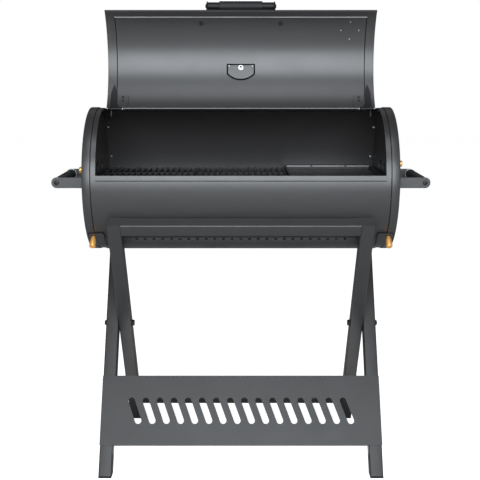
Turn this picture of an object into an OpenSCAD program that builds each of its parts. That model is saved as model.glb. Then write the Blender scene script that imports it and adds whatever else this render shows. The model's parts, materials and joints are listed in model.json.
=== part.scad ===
// Barrel charcoal barbecue and smoker on two pairs of crossed legs, shown with its lid open.
// The origin is on the floor, midway between the feet. X runs along the drum, -Y is the front.
// Angles round the drum are counted from the front, over the top, to the rear.

/* [Drum] */
// Outer radius of the drum's sheet
drum_r = 219; // [210:1:225]
// Length of the drum
drum_len = 928; // [926:1:940]
// Height of the drum's axis above the floor
axis_h = 886; // [860:1:910]
// Thickness of the drum's and the lid's sheet
sheet = 2; // [1.5:0.5:2]
// Length of the lid opening
opening_len = 848; // [846:1:850]
// Angle of the opening's front edge
front_edge = 8.3; // [7.5:0.1:8.3]
// Angle of the opening's rear edge
rear_edge = 98; // [98:0.1:98.5]
// Distance of the end discs' outer faces from the middle
disc_face = 446; // [445:0.5:447]

/* [Lid] */
// Length of the lid
lid_len = 843; // [840:1:844]
// Angle of the lid's front edge when it is closed
lid_front = 8.5; // [8.5:0.1:9.2]
// Angle of the lid's rear edge when it is closed
lid_rear = 95.1; // [94.9:0.1:95.1]
// Angle of the hinge axis
hinge_at = 96.4; // [96.4:0.1:96.5]
// Depth of the hinge axis below the drum's outer face
hinge_depth = 2.5; // [2.4:0.1:2.6]
// How far the lid is open
open_angle = 130.3; // [100:0.1:130.3]
// Width of the strip that stiffens the lid's edges
frame_w = 25; // [20:1:28]

/* [Air vents] */
// Radius of the turning disc on each end
vent_r = 92; // [88:1:94]
// Radius of the holes in the end vents
vent_hole_r = 17; // [12:1:18]
// Holes in each row along the drum's bottom
air_holes = 25; // [15:2:25]
// Pitch of those holes
air_pitch = 26.3; // [20:0.1:26.3]
// Turn of the bottom damper from open to shut
damper_turn = 3.3; // [3:0.1:3.4]

/* [Stand] */
// Width of the square leg tube
tube_w = 40; // [36:1:40]
// Lean of the legs from the vertical
leg_lean = 30.5; // [30:0.1:31]
// Distance of the outer legs' outer faces from the middle
outer_x = 434; // [430:1:436]
// Thickness of the foot pads
pad_t = 6; // [4:1:10]
// Height of the front panel, along the legs
panel_h = 216; // [200:1:220]

// Slots in the front panel
slots = 16; // [12:1:16]
// Pitch of those slots
slot_pitch = 44; // [40:1:44]

/* [Side handles] */
// Distance of the grips from the middle
grip_x = 555; // [540:1:570]
// Distance of the handle arms from the drum's axis
arm_y = 125; // [120:1:130]
// Height of the handle arms
arm_h = 32; // [28:1:36]

/* [Cooking grates] */
// Width of each grate
grate_w = 290; // [280:1:291]
// Depth of each grate
grate_d = 410; // [390:1:412]
// Pitch of the grate's bars
bar_pitch = 18.8; // [16:0.1:22]

/* [Hidden] */
$fn = 96;

inner_r = drum_r - sheet;
half_open = opening_len / 2;
half_lid = lid_len / 2;
hinge_r = drum_r - hinge_depth;
hinge_y = -hinge_r * cos(hinge_at);
hinge_z = hinge_r * sin(hinge_at);

knuckle_r = 4.2;
pin_r = 2.5;
knuckle_gap = 0.1;
lid_knuckle = [383.4, 404.6];
drum_knuckles = [[372, 383], [405, 416]];
leaf_t = 2;
leaf_r = inner_r - sheet;

hole_rows = [-49.6, -130.4];
air_hole_r = 5.5;
damper_gap = 0.5;
damper_r = drum_r + damper_gap + sheet;
damper_edges = [-132.6, -47.4];
damper_half = 419;
tab_x = [411, 458];
tab_edges = [-60, -41.5];
knob_tab = [444, -45.5];
shoulder_at = [-97, -115];
shoulder_x = 220;
shoulder_r = 3;

ring_r = drum_r + 2;
ring_w = 24;
disc_t = 2;
flange_w = 14;
rivet_x = 436;
rivet_angles = [for (i = [0:8]) 105 + i * 31];

vent_hole_at = 54;
vent_gap = 0.5;
vent_t = 2;
vent_knob_at = 82;
knob_angles = [24, 39];
knob_len = 37;
knob_r = 9.5;
knob_neck_r = 6;
stud_r = 3;
vent_post = 9;

therm_at = 61.7;
therm_w = 86;
therm_h = 48.4;
therm_arc_r = 58;
stem_y = -13.8;
stem_len = 18;
badge_at = [342, 26.9];
badge_r = 38;
badge_rivet_at = 28;
badge_turn = 7.3;
head_gap = 0.1;

lid_bolt = [124, 20.5];
bar_at = 15.5;
bar_r = 12;
bar_out = drum_r + 66;
bar_half = 104.5;
lid_arm_t = 4;
lid_grip_half = 68;
lid_grip_r = 15.5;

arm_t = 5;
foot_t = 4;
foot_w = 36;
grip_r = 15;

grate_low = 0.3;
bar_w = 6;
bar_h = 12;
grate_gap = 2;
griddle_rim = 18;

inner_x = outer_x - tube_w - 1;
wall_t = 2;
leg_top = tube_w / 2;
cross_d = (drum_r + tube_w / 2) / tan(leg_lean);
cross_h = axis_h - (drum_r + tube_w / 2) / sin(leg_lean);
leg_len = cross_d + cross_h / cos(leg_lean) + 40;
panel_top = cross_d + 178;
crossbar_top = cross_d + 348;

// ---------- helpers ----------

// Puts the drum's axis at the origin
module on_axis() translate([0, 0, axis_h]) children();

// Swings what is drawn closed into the open lid's place
module lid_open() on_axis()
    translate([0, hinge_y, hinge_z]) rotate([-open_angle, 0, 0])
    translate([0, -hinge_y, -hinge_z]) children();

// Local Z points out of the drum at angle a; local Y runs towards the rear over the top
module at_angle(a, x = 0, r = 0) translate([x, 0, 0]) rotate([90 - a, 0, 0])
    translate([0, 0, r]) children();

// Local Z points along X
module along_x() rotate([0, 90, 0]) children();

// A piece of rolled sheet of outer radius r between two angles and two places along X
module arc_sheet(r, t, a0, a1, x0, x1) along_x()
    rotate_extrude(start = 270 - a1, angle = a1 - a0)
    translate([r - t, x0]) square([t, x1 - x0]);

// The same piece on both ends of the drum
module both_ends() for (s = [0, 1]) mirror([s, 0, 0]) children();

// One end: side -1 is the left, 1 is the right
module on_side(side) mirror([side < 0 ? 1 : 0, 0, 0]) children();

module tube(outer, inner, len) difference() {
    cylinder(r = outer, h = len, center = true);
    cylinder(r = inner, h = len + 2, center = true);
}

// Flat ring standing on local Z
module washer(outer, inner, h) difference() {
    cylinder(r = outer, h = h);
    translate([0, 0, -1]) cylinder(r = inner, h = h + 2);
}

module square_tube(len, w, t) difference() {
    cube([len, w, w], center = true);
    cube([len + 2, w - 2 * t, w - 2 * t], center = true);
}

// Screw pointing outwards: head at the bottom, shank above
module screw(head_r, head_h, shank_r, shank_h) {
    translate([0, 0, -head_h]) cylinder(r = head_r, h = head_h);
    cylinder(r = shank_r, h = shank_h);
}

// ---------- drum ----------

module air_hole_row(r) for (a = hole_rows, i = [0:air_holes - 1])
    at_angle(a, (i - (air_holes - 1) / 2) * air_pitch, r)
        cylinder(r = air_hole_r, h = 8, center = true);

module drum_shell() color("#46484b") on_axis() difference() {
    along_x() tube(drum_r, inner_r, drum_len);
    arc_sheet(drum_r + 4, 10, front_edge, rear_edge, -half_open, half_open);
    air_hole_row(drum_r);
    for (a = shoulder_at, x = [-shoulder_x, shoulder_x])
        at_angle(a, x, drum_r) cylinder(r = shoulder_r, h = 10, center = true);
    both_ends() {
        for (a = rivet_angles) at_angle(a, rivet_x, drum_r) cylinder(r = 2, h = 10, center = true);
        for (x = [371, 391]) at_angle(hinge_at + 5, x, drum_r)
            cylinder(r = 2.5, h = 10, center = true);
        for (a = [-leg_lean, 180 + leg_lean]) at_angle(a, 150, drum_r)
            cylinder(r = 4, h = 10, center = true);
    }
}

module front_hem() color("#5b5e61") on_axis()
    arc_sheet(drum_r + 1.5, 1.5, 4.5, front_edge, -half_open, half_open);

module rear_lip() color("#3a3c3e") on_axis() {
    arc_sheet(drum_r - 7.5, sheet, 92.5, 99.2, -360, 360);
    arc_sheet(inner_r, 7, 98.3, 99.2, -360, 360);
}

module end_ring() color("#3d3f42") on_axis() along_x()
    translate([0, 0, (drum_len - ring_w) / 2]) tube(ring_r, drum_r, ring_w);

module left_end_ring() on_side(-1) end_ring();
module right_end_ring() on_side(1) end_ring();

module vent_holes() for (i = [0:3]) rotate([0, 0, 45 + i * 90])
    translate([vent_hole_at, 0, 0]) cylinder(r = vent_hole_r, h = 12, center = true);

module end_disc() color("#3d3f42") on_axis() difference() {
    along_x() translate([0, 0, disc_face - disc_t]) difference() {
        cylinder(r = inner_r - 0.1, h = disc_t);
        vent_holes();
        cylinder(r = 4, h = 10, center = true);
    }
    for (s = [-1, 1], z = [-8, 8]) translate([disc_face, s * (arm_y + 20), z])
        along_x() cylinder(r = 3, h = 10, center = true);
}

module left_end_disc() on_side(-1) end_disc();
module right_end_disc() on_side(1) end_disc();

module end_flanges() color("#3d3f42") on_axis() both_ends() difference() {
    along_x() translate([0, 0, disc_face - disc_t - flange_w / 2])
        tube(inner_r, leaf_r, flange_w);
    for (a = rivet_angles) at_angle(a, rivet_x, drum_r) cylinder(r = 2, h = 14, center = true);
}

module end_rivets() color("silver") on_axis() both_ends() for (a = rivet_angles)
    at_angle(a, rivet_x, leaf_r - head_gap) screw(3.5, 1.5, 2, 4 + head_gap);

// ---------- end vents ----------

// The turning disc, drawn shut: its holes lie between those of the end disc
module vent_disc(knob_angle) color("#2f3133") on_axis() along_x()
    translate([0, 0, disc_face + vent_gap]) difference() {
        cylinder(r = vent_r, h = vent_t);
        rotate([0, 0, 45]) vent_holes();
        cylinder(r = 4.1, h = 10, center = true);
        rotate([0, 0, 270 - knob_angle]) translate([vent_knob_at, 0, 0])
            cylinder(r = stud_r, h = 10, center = true);
    }

module left_vent_disc() on_side(-1) vent_disc(knob_angles[0]);
module right_vent_disc() on_side(1) vent_disc(knob_angles[1]);

// Knob standing on local Z, widening to a blunt end, with its post and its stud through a vent's sheet
module knob(post = 0) color("#b87333") rotate_extrude() translate([0, post]) polygon([
    [0, -vent_t - post], [stud_r, -vent_t - post], [stud_r, -post], [stud_r + 1.5, -post],
    [stud_r + 1.5, 0], [knob_neck_r, 0], [knob_r, knob_len * 0.62],
    [knob_r, knob_len - 3], [knob_r - 2, knob_len - 0.6], [knob_r - 4, knob_len], [0, knob_len]
]);

module vent_knob(knob_angle) on_axis() along_x()
    rotate([0, 0, 270 - knob_angle])
    translate([vent_knob_at, 0, disc_face + vent_gap + vent_t]) knob(vent_post);

module left_vent_knob() on_side(-1) vent_knob(knob_angles[0]);
module right_vent_knob() on_side(1) vent_knob(knob_angles[1]);

module vent_pivots() color("silver") on_axis() both_ends() along_x() {
    translate([0, 0, disc_face - disc_t]) cylinder(r = 4, h = disc_t + vent_t + 1);
    translate([0, 0, disc_face + vent_gap + vent_t + 0.5]) cylinder(r = 9, h = 3);
    translate([0, 0, disc_face - disc_t - 2]) cylinder(r = 7, h = 2);
}

// ---------- bottom damper ----------

module damper_shell() color("#46484b") on_axis() difference() {
    union() {
        arc_sheet(damper_r, sheet, damper_edges[0], damper_edges[1], -damper_half, damper_half);
        both_ends() arc_sheet(damper_r + sheet, sheet + 0.2, tab_edges[0], tab_edges[1],
            tab_x[0], tab_x[1]);
    }
    air_hole_row(damper_r);
    for (a = shoulder_at, x = [-shoulder_x, shoulder_x])
        arc_sheet(damper_r + 4, 10, a - 1.1, a + damper_turn + 1.1,
            x - shoulder_r - 1, x + shoulder_r + 1);
    both_ends() at_angle(knob_tab[1], knob_tab[0], damper_r)
        cylinder(r = stud_r, h = 10, center = true);
}

module damper_knob() on_axis() at_angle(knob_tab[1], knob_tab[0], damper_r + sheet) knob();

module left_damper_knob() on_side(-1) damper_knob();
module right_damper_knob() on_side(1) damper_knob();

module damper_screws() color("silver") on_axis() for (a = shoulder_at, x = [-shoulder_x, shoulder_x])
    at_angle(a, x, 0) {
        translate([0, 0, inner_r - 6]) cylinder(r = 5.5, h = 5);
        translate([0, 0, inner_r - 2]) cylinder(r = shoulder_r, h = sheet * 2 + 4);
        translate([0, 0, damper_r + 0.5]) cylinder(r = 8, h = 3);
    }

// ---------- lid, drawn closed and swung open ----------

// Outline of the thermometer: straight sides and front edge, with an arched far edge
module therm_outline(grow) intersection() {
    square([therm_w + 2 * grow, therm_h + 2 * grow], center = true);
    translate([0, therm_h / 2 - therm_arc_r]) circle(r = therm_arc_r + grow);
}

module lid_bolt_holes(r, h) both_ends() at_angle(lid_bolt[1], lid_bolt[0], r)
    cylinder(r = 4, h = h, center = true);

module badge_spots(r) for (i = [0:3])
    at_angle(badge_at[1] + badge_turn * sin(i * 90), badge_at[0] + badge_rivet_at * cos(i * 90), r)
        children();

module badge_holes() badge_spots(drum_r) cylinder(r = 2, h = 16, center = true);

module lid_shell() color("#55585b") lid_open() difference() {
    arc_sheet(drum_r, sheet, lid_front, lid_rear, -half_lid, half_lid);
    lid_bolt_holes(drum_r, 12);
    badge_holes();
    at_angle(therm_at, 0, drum_r) linear_extrude(20, center = true) therm_outline(-2.5);
    both_ends() for (a = [85, 88.5]) at_angle(a, 371, drum_r)
        cylinder(r = 2.5, h = 10, center = true);
}

module lid_frame() color("#3a3c3e") lid_open() {
    difference() {
        arc_sheet(inner_r, sheet, lid_front + 0.9, 94.6, -half_lid + 3.5, half_lid - 3.5);
        arc_sheet(drum_r, 3 * sheet, 14.5, 98, -half_lid + 3.5 + frame_w, half_lid - 3.5 - frame_w);
    }
    arc_sheet(inner_r, 3.5, 93.6, 94.6, -353, 353);
}

// A hinge barrel's knuckle with its bore
module knuckle(x) translate([(x[0] + x[1]) / 2, hinge_y, hinge_z]) along_x()
    cylinder(r = knuckle_r, h = x[1] - x[0], center = true);

module pin_bore() translate([394, hinge_y, hinge_z]) along_x()
    cylinder(r = pin_r + knuckle_gap, h = 60, center = true);

module hinge_bracket() color("#2b2c2e") on_axis() difference() {
    union() {
        for (x = drum_knuckles) {
            knuckle(x);
            arc_sheet(inner_r, leaf_t, hinge_at, hinge_at + 2, x[0], x[1]);
        }
        arc_sheet(inner_r, leaf_t, hinge_at + 1.8, hinge_at + 9, 362, 416);
        arc_sheet(leaf_r, 22, hinge_at + 3, hinge_at + 8, 406, 409);
    }
    pin_bore();
    for (x = [371, 391]) at_angle(hinge_at + 5, x, drum_r) cylinder(r = 2.5, h = 12, center = true);
}

module left_hinge_bracket() on_side(-1) hinge_bracket();
module right_hinge_bracket() on_side(1) hinge_bracket();

// Lid half of the hinge: a plate under the barrel and a pointed strap along the lid's edge strip
module lid_leaf() color("#232425") lid_open() difference() {
    union() {
        knuckle(lid_knuckle);
        arc_sheet(leaf_r, leaf_t, 93, hinge_at, lid_knuckle[0], lid_knuckle[1]);
        arc_sheet(inner_r, leaf_t + sheet, 83, 94.6, 354, 388);
        arc_sheet(leaf_r, leaf_t, 92.4, 94.6, 386, 410);
        arc_sheet(leaf_r, leaf_t, 72.7, 94.6, 390, 410);
    }
    pin_bore();
    for (s = [-1, 1]) at_angle(72.7, 400, drum_r) rotate([0, 0, s * 20])
        translate([s * 20, 8, 0]) cube([40, 60, 40], center = true);
    for (a = [85, 88.5]) at_angle(a, 371, drum_r) cylinder(r = 2.5, h = 14, center = true);
}

module left_lid_leaf() on_side(-1) lid_leaf();
module right_lid_leaf() on_side(1) lid_leaf();

module hinge_pins() color("silver") on_axis() both_ends()
    translate([394, hinge_y, hinge_z]) along_x() {
        cylinder(r = pin_r, h = 45, center = true);
        for (s = [-1, 1]) translate([0, 0, s * 23.2]) cylinder(r = 3.8, h = 1.6, center = true);
    }

module hinge_screws() color("silver") on_axis() both_ends() for (x = [371, 391])
    at_angle(hinge_at + 5, x, leaf_r - head_gap) screw(4.5, 2.5, 2.5, 4);

module lid_leaf_screws() color("silver") lid_open() both_ends() for (a = [85, 88.5])
    at_angle(a, 371, leaf_r - leaf_t - head_gap) screw(4, 2, 2.5, 5.8);

// ---------- lid handle ----------

// Place of the handle bar, seen from the lid bolts' angle
bar_y = bar_out * sin(bar_at - lid_bolt[1]);
bar_z = bar_out * cos(bar_at - lid_bolt[1]);
arm_tilt = atan2(-bar_y, bar_z - drum_r);

module lid_arm_outline() {
    translate([bar_y, bar_z]) circle(r = 14);
    polygon([
        [-12, drum_r - 0.5], [12, drum_r - 0.5],
        [bar_y + 14 * cos(arm_tilt), bar_z + 14 * sin(arm_tilt)],
        [bar_y - 14 * cos(arm_tilt), bar_z - 14 * sin(arm_tilt)]
    ]);
}

module lid_handle_arms() color("#2b2c2e") lid_open() both_ends() difference() {
    union() {
        arc_sheet(drum_r + 3, 3, lid_bolt[1] - 3.2, lid_bolt[1] + 3.2, bar_half, lid_bolt[0] + 12);
        difference() {
            at_angle(lid_bolt[1], bar_half) rotate([90, 0, 90])
                linear_extrude(lid_arm_t) lid_arm_outline();
            along_x() cylinder(r = drum_r, h = 400, center = true);
        }
    }
    lid_bolt_holes(drum_r, 16);
    at_angle(lid_bolt[1], bar_half) translate([0, bar_y, bar_z]) along_x()
        cylinder(r = 4, h = 20, center = true);
}

module at_bar() lid_open() at_angle(lid_bolt[1]) translate([0, bar_y, bar_z]) along_x() children();

module lid_handle_bar() color("#2b2c2e") at_bar() difference() {
    cylinder(r = bar_r, h = 2 * bar_half, center = true);
    both_ends_of_bar() cylinder(r = 4, h = 22, center = true);
}

module both_ends_of_bar() for (s = [-1, 1]) translate([0, 0, s * bar_half]) children();

module lid_handle_grip() color("#1d1d1f") at_bar() tube(lid_grip_r, bar_r, 2 * lid_grip_half);

module lid_handle_bolts() color("#202123") {
    at_bar() for (s = [-1, 1]) translate([0, 0, s * (bar_half + lid_arm_t)]) {
        translate([0, 0, s * 1.75]) cylinder(r = 7, h = 3.5, center = true);
        translate([0, 0, -s * 7]) cylinder(r = 4, h = 14, center = true);
    }
    lid_open() both_ends() at_angle(lid_bolt[1], lid_bolt[0], inner_r) {
        screw(7, 5, 4, 5);
        translate([0, 0, 5]) cylinder(r = 7.5, h = 3);
    }
}

// ---------- lid thermometer ----------

module at_therm(z) lid_open() at_angle(therm_at, 0, z) children();

module thermometer_case() color("silver") at_therm(0) difference() {
    union() {
        translate([0, 0, drum_r - 3.7]) linear_extrude(5) therm_outline(-3);
        translate([0, 0, drum_r + 0.3]) linear_extrude(10) therm_outline(4);
    }
    translate([0, 0, drum_r + 3]) linear_extrude(10) therm_outline(0);
    translate([0, stem_y, 0]) cylinder(r = 3, h = 400);
}

module thermometer_dial() color("white") at_therm(drum_r + 3) difference() {
    linear_extrude(0.8) therm_outline(-0.2);
    translate([0, stem_y, 0]) cylinder(r = 3, h = 5, center = true);
}

// The needle lies towards the cold end of the scale
module thermometer_needle() color("red") at_therm(drum_r + 4.6) translate([0, stem_y, 0])
    rotate([0, 0, 165]) difference() {
        union() {
            cylinder(r = 4, h = 1);
            linear_extrude(1) polygon([[-9, -1.4], [-9, 1.4], [31, 0.4], [31, -0.4]]);
        }
        cylinder(r = 1.6, h = 5, center = true);
    }

module thermometer_glass() color("lightblue", 0.4) at_therm(drum_r + 7.6)
    linear_extrude(2) therm_outline(-0.1);

module thermometer_backplate() color("#9a9c9f") at_therm(inner_r - 3.8) difference() {
    linear_extrude(2) therm_outline(0);
    translate([0, stem_y, 0]) cylinder(r = 3, h = 8, center = true);
}

module thermometer_stem() color("silver") {
    at_therm(0) translate([0, stem_y, 0]) {
        translate([0, 0, inner_r - stem_len]) cylinder(r = 3, h = stem_len + sheet + 3.8);
        translate([0, 0, drum_r + 3]) cylinder(r = 1.5, h = 3.4);
        translate([0, 0, inner_r - 4.8]) washer(8.5, 3, 1);
        translate([0, 0, inner_r - 9.8]) difference() {
            cylinder(r = 6.8, h = 5, $fn = 6);
            cylinder(r = 3, h = 20, center = true);
        }
    }
    at_therm(inner_r - 5.3) for (s = [-1, 1]) translate([s * 37, -19, 0]) cylinder(r = 2.5, h = 1.5);
}

module badge_plate() color("#8a8c8f") lid_open() difference() {
    intersection() {
        arc_sheet(drum_r + 1.5, 1.5, 5, 50, badge_at[0] - 50, badge_at[0] + 50);
        at_angle(badge_at[1], badge_at[0], drum_r) cylinder(r = badge_r, h = 40, center = true);
    }
    badge_holes();
}

module badge_rivets() color("silver") lid_open() badge_spots(0) difference() {
    union() {
        translate([0, 0, inner_r - 2.6]) cylinder(r = 2.8, h = 2.5);
        translate([0, 0, inner_r - 2]) cylinder(r = 2, h = 6);
        translate([0, 0, drum_r + 1.6]) cylinder(r = 3.2, h = 1.5);
    }
    translate([0, 0, inner_r - 10]) cylinder(r = 0.8, h = 8);
}

// ---------- side handles ----------

module handle_arm() difference() {
    union() {
        translate([0, arm_t / 2, 0]) rotate([90, 0, 0]) linear_extrude(arm_t) {
            translate([disc_face, -arm_h / 2]) square([grip_x - disc_face, arm_h]);
            translate([grip_x, 0]) circle(r = arm_h / 2);
        }
        translate([disc_face, -arm_t / 2, -arm_h / 2]) cube([foot_t, foot_w, arm_h]);
    }
    translate([grip_x, 0, 0]) rotate([90, 0, 0]) cylinder(r = 5, h = 20, center = true);
    for (z = [-8, 8]) translate([disc_face, 20, z]) along_x() cylinder(r = 3, h = 20, center = true);
}

module handle_arms() color("#3d3f42") on_axis() for (s = [0, 1])
    mirror([0, s, 0]) translate([0, arm_y, 0]) handle_arm();

module left_handle() on_side(-1) handle_arms();
module right_handle() on_side(1) handle_arms();

module side_grip() color("#1d1d1f") on_axis() translate([grip_x, 0, 0]) rotate([90, 0, 0]) {
    tube(grip_r, 5, 2 * (arm_y - arm_t / 2) - 5);
    for (s = [-1, 1]) translate([0, 0, s * (arm_y - arm_t / 2 - 1.25)]) tube(grip_r + 2, 5, 2.5);
}

module left_handle_grip() on_side(-1) side_grip();
module right_handle_grip() on_side(1) side_grip();

module side_handle_bolts() color("silver") on_axis() both_ends() {
    translate([grip_x, 0, 0]) rotate([90, 0, 0]) {
        cylinder(r = 5, h = 2 * arm_y + arm_t, center = true);
        for (s = [-1, 1]) translate([0, 0, s * (arm_y + arm_t / 2 + 2)])
            cylinder(r = 7.5, h = 4, center = true);
    }
    for (s = [-1, 1], z = [-8, 8]) translate([0, s * (arm_y + 20), z]) along_x() {
        translate([0, 0, disc_face - disc_t - 4]) cylinder(r = 5, h = 4);
        translate([0, 0, disc_face - disc_t]) cylinder(r = 3, h = disc_t + foot_t);
        translate([0, 0, disc_face + foot_t]) cylinder(r = 5.5, h = 3);
    }
}

// ---------- cooking grates and fire trays ----------

// Cast grate with front-to-back bars, centred at x
module grate(x) color("#1b1b1c") on_axis() translate([x, 0, grate_low]) {
    bars = floor((grate_w - bar_w) / bar_pitch);
    span = (grate_w - bar_w) / bars;
    for (i = [0:bars]) translate([-grate_w / 2 + i * span, -grate_d / 2, 0])
        cube([bar_w, grate_d, bar_h]);
    for (y = [-grate_d / 2, -75, 75, grate_d / 2 - 8]) translate([-grate_w / 2, y, 0])
        cube([grate_w, 8, bar_h - 1.5]);
}

module left_grate() grate(-grate_w - grate_gap);
module centre_grate() grate(0);

module griddle_plate() color("#1b1b1c") on_axis()
    translate([grate_w / 2 + grate_gap, -grate_d / 2, grate_low]) difference() {
        cube([grate_w, grate_d, griddle_rim]);
        translate([5, 5, 7]) cube([grate_w - 10, grate_d - 10, griddle_rim]);
        for (x = [87, 201]) translate([x, grate_d - 10, 10]) cube([6, 20, griddle_rim]);
    }

module grate_rails() color("#3a3c3e") on_axis() for (s = [0, 1]) mirror([0, s, 0]) {
    translate([-426, 188, -3]) cube([852, 28.5, 3]);
    translate([-426, 212, -24]) cube([852, 2.5, 22]);
}

module charcoal_tray() color("#3a3c3e") on_axis() translate([0, 0, -115]) difference() {
    translate([-410, -150, 0]) cube([820, 300, 55]);
    translate([-408, -148, 2]) cube([816, 296, 60]);
    for (i = [-9:9], y = [-105, -35, 35, 105]) translate([i * 40 - 4, y - 25, -5])
        cube([8, 50, 20]);
}

module tray_crossbars() color("#3a3c3e") on_axis() for (x = [-260, 260])
    translate([x - 10, -176, -121]) cube([20, 352, 6]);

module ash_pan() color("#4a4c4f") on_axis() translate([0, 0, -192]) difference() {
    translate([-400, -80, 0]) cube([800, 160, 24]);
    translate([-398.5, -78.5, 1.5]) cube([797, 157, 30]);
}

// ---------- stand ----------

// Square leg from above the drum's contact line down past the floor
module leg(x, t) translate([x, -leg_len, drum_r]) difference() {
    cube([tube_w, leg_len + leg_top, tube_w]);
    if (t > 0) translate([t, -1, t]) cube([tube_w - 2 * t, leg_len + leg_top - 1, tube_w - 2 * t]);
}

module inner_pair(t) on_axis() both_ends() at_angle(-leg_lean) leg(inner_x - tube_w, t);
module outer_pair(t) on_axis() both_ends() at_angle(180 + leg_lean) mirror([0, 1, 0])
    leg(outer_x - tube_w, t);

module floor_cut(h) translate([-700, -700, -300]) cube([1400, 1400, 300 + h]);

module cross_bolt_hole(r) both_ends() translate([inner_x, 0, cross_h]) along_x()
    cylinder(r = r, h = 140, center = true);

module top_ends() {
    on_axis() at_angle(-leg_lean) translate([-600, leg_top - 2, drum_r - 1]) cube([1200, 9, 42]);
    on_axis() at_angle(180 + leg_lean) translate([-600, -leg_top - 7, drum_r - 1]) cube([1200, 9, 42]);
}

module inner_legs() color("#46484b") difference() {
    inner_pair(wall_t);
    floor_cut(pad_t);
    cross_bolt_hole(6);
    top_ends();
}

module outer_legs() color("#46484b") difference() {
    outer_pair(wall_t);
    floor_cut(pad_t);
    cross_bolt_hole(6);
    top_ends();
}

module leg_plugs() color("#232425") on_axis() both_ends() {
    at_angle(-leg_lean) translate([inner_x - tube_w, leg_top - 2, drum_r]) cube([tube_w, 2, tube_w]);
    at_angle(180 + leg_lean) translate([outer_x - tube_w, -leg_top, drum_r])
        cube([tube_w, 2, tube_w]);
}

module foot_pads() color("#1d1d1f") intersection() {
    union() {
        inner_pair(0);
        outer_pair(0);
    }
    translate([-700, -700, 0]) cube([1400, 1400, pad_t]);
}

module front_beam() color("#46484b") on_axis() difference() {
    at_angle(-leg_lean, 0, drum_r + tube_w / 2) square_tube(2 * (inner_x - tube_w), tube_w, wall_t);
    both_ends() at_angle(-leg_lean, 150, drum_r) cylinder(r = 4, h = 12, center = true);
}

module rear_beam() color("#46484b") on_axis() difference() {
    at_angle(180 + leg_lean, 0, drum_r + tube_w / 2)
        square_tube(2 * (outer_x - tube_w), tube_w, wall_t);
    both_ends() at_angle(180 + leg_lean, 150, drum_r) cylinder(r = 4, h = 12, center = true);
}

module rear_crossbar() color("#46484b") on_axis()
    at_angle(-leg_lean) translate([0, -crossbar_top - tube_w / 2, drum_r + tube_w / 2])
    square_tube(2 * (inner_x - tube_w), tube_w, wall_t);

// Slanted slot with round ends
module slanted_slot() rotate([0, 0, -20]) {
    square([20, 66], center = true);
    for (s = [-1, 1]) translate([0, s * 33]) circle(r = 10);
}

module front_panel() color("#55585b") on_axis()
    at_angle(180 + leg_lean) translate([0, panel_top, drum_r]) {
        difference() {
            translate([-outer_x - 1, 0, -sheet]) cube([2 * outer_x + 2, panel_h, sheet]);
            translate([0, panel_h / 2 + 2, 0]) for (i = [0:slots - 1])
                translate([(i - (slots - 1) / 2) * slot_pitch, 0])
                    linear_extrude(20, center = true) slanted_slot();
        }
        for (y = [0, panel_h - sheet])
            translate([-outer_x + tube_w + 1, y, 0]) cube([2 * (outer_x - tube_w) - 2, sheet, 18]);
    }

// Bolts of the stand: leg pivots and the bolts that hold the drum on its beams
module stand_bolts() color("#7b7d80") {
    both_ends() translate([0, 0, cross_h]) along_x() {
        translate([0, 0, inner_x - tube_w - 8]) cylinder(r = 10, h = 8, $fn = 6);
        translate([0, 0, inner_x - tube_w]) cylinder(r = 6, h = 2 * tube_w + 1);
        translate([0, 0, inner_x]) cylinder(r = 13, h = 1);
        translate([0, 0, outer_x]) cylinder(r = 9, h = 7);
    }
    on_axis() both_ends() for (a = [-leg_lean, 180 + leg_lean])
        at_angle(a, 150, inner_r) screw(7, 3, 4, 9);
}

drum_shell();
front_hem();
rear_lip();
left_end_ring();
right_end_ring();
left_end_disc();
right_end_disc();
end_flanges();
end_rivets();
left_vent_disc();
right_vent_disc();
left_vent_knob();
right_vent_knob();
vent_pivots();
damper_shell();
left_damper_knob();
right_damper_knob();
damper_screws();
lid_shell();
lid_frame();
left_hinge_bracket();
right_hinge_bracket();
left_lid_leaf();
right_lid_leaf();
hinge_pins();
hinge_screws();
lid_leaf_screws();
lid_handle_arms();
lid_handle_bar();
lid_handle_grip();
lid_handle_bolts();
thermometer_case();
thermometer_dial();
thermometer_needle();
thermometer_glass();
thermometer_backplate();
thermometer_stem();
badge_plate();
badge_rivets();
left_handle();
right_handle();
left_handle_grip();
right_handle_grip();
side_handle_bolts();
left_grate();
centre_grate();
griddle_plate();
grate_rails();
charcoal_tray();
tray_crossbars();
ash_pan();
inner_legs();
outer_legs();
front_beam();
rear_beam();
rear_crossbar();
front_panel();
leg_plugs();
foot_pads();
stand_bolts();
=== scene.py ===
"""Barrel charcoal smoker on crossed legs with its lid open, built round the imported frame."""
import json
import math

import bmesh
import bpy
from mathutils import Matrix, Vector


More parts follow.
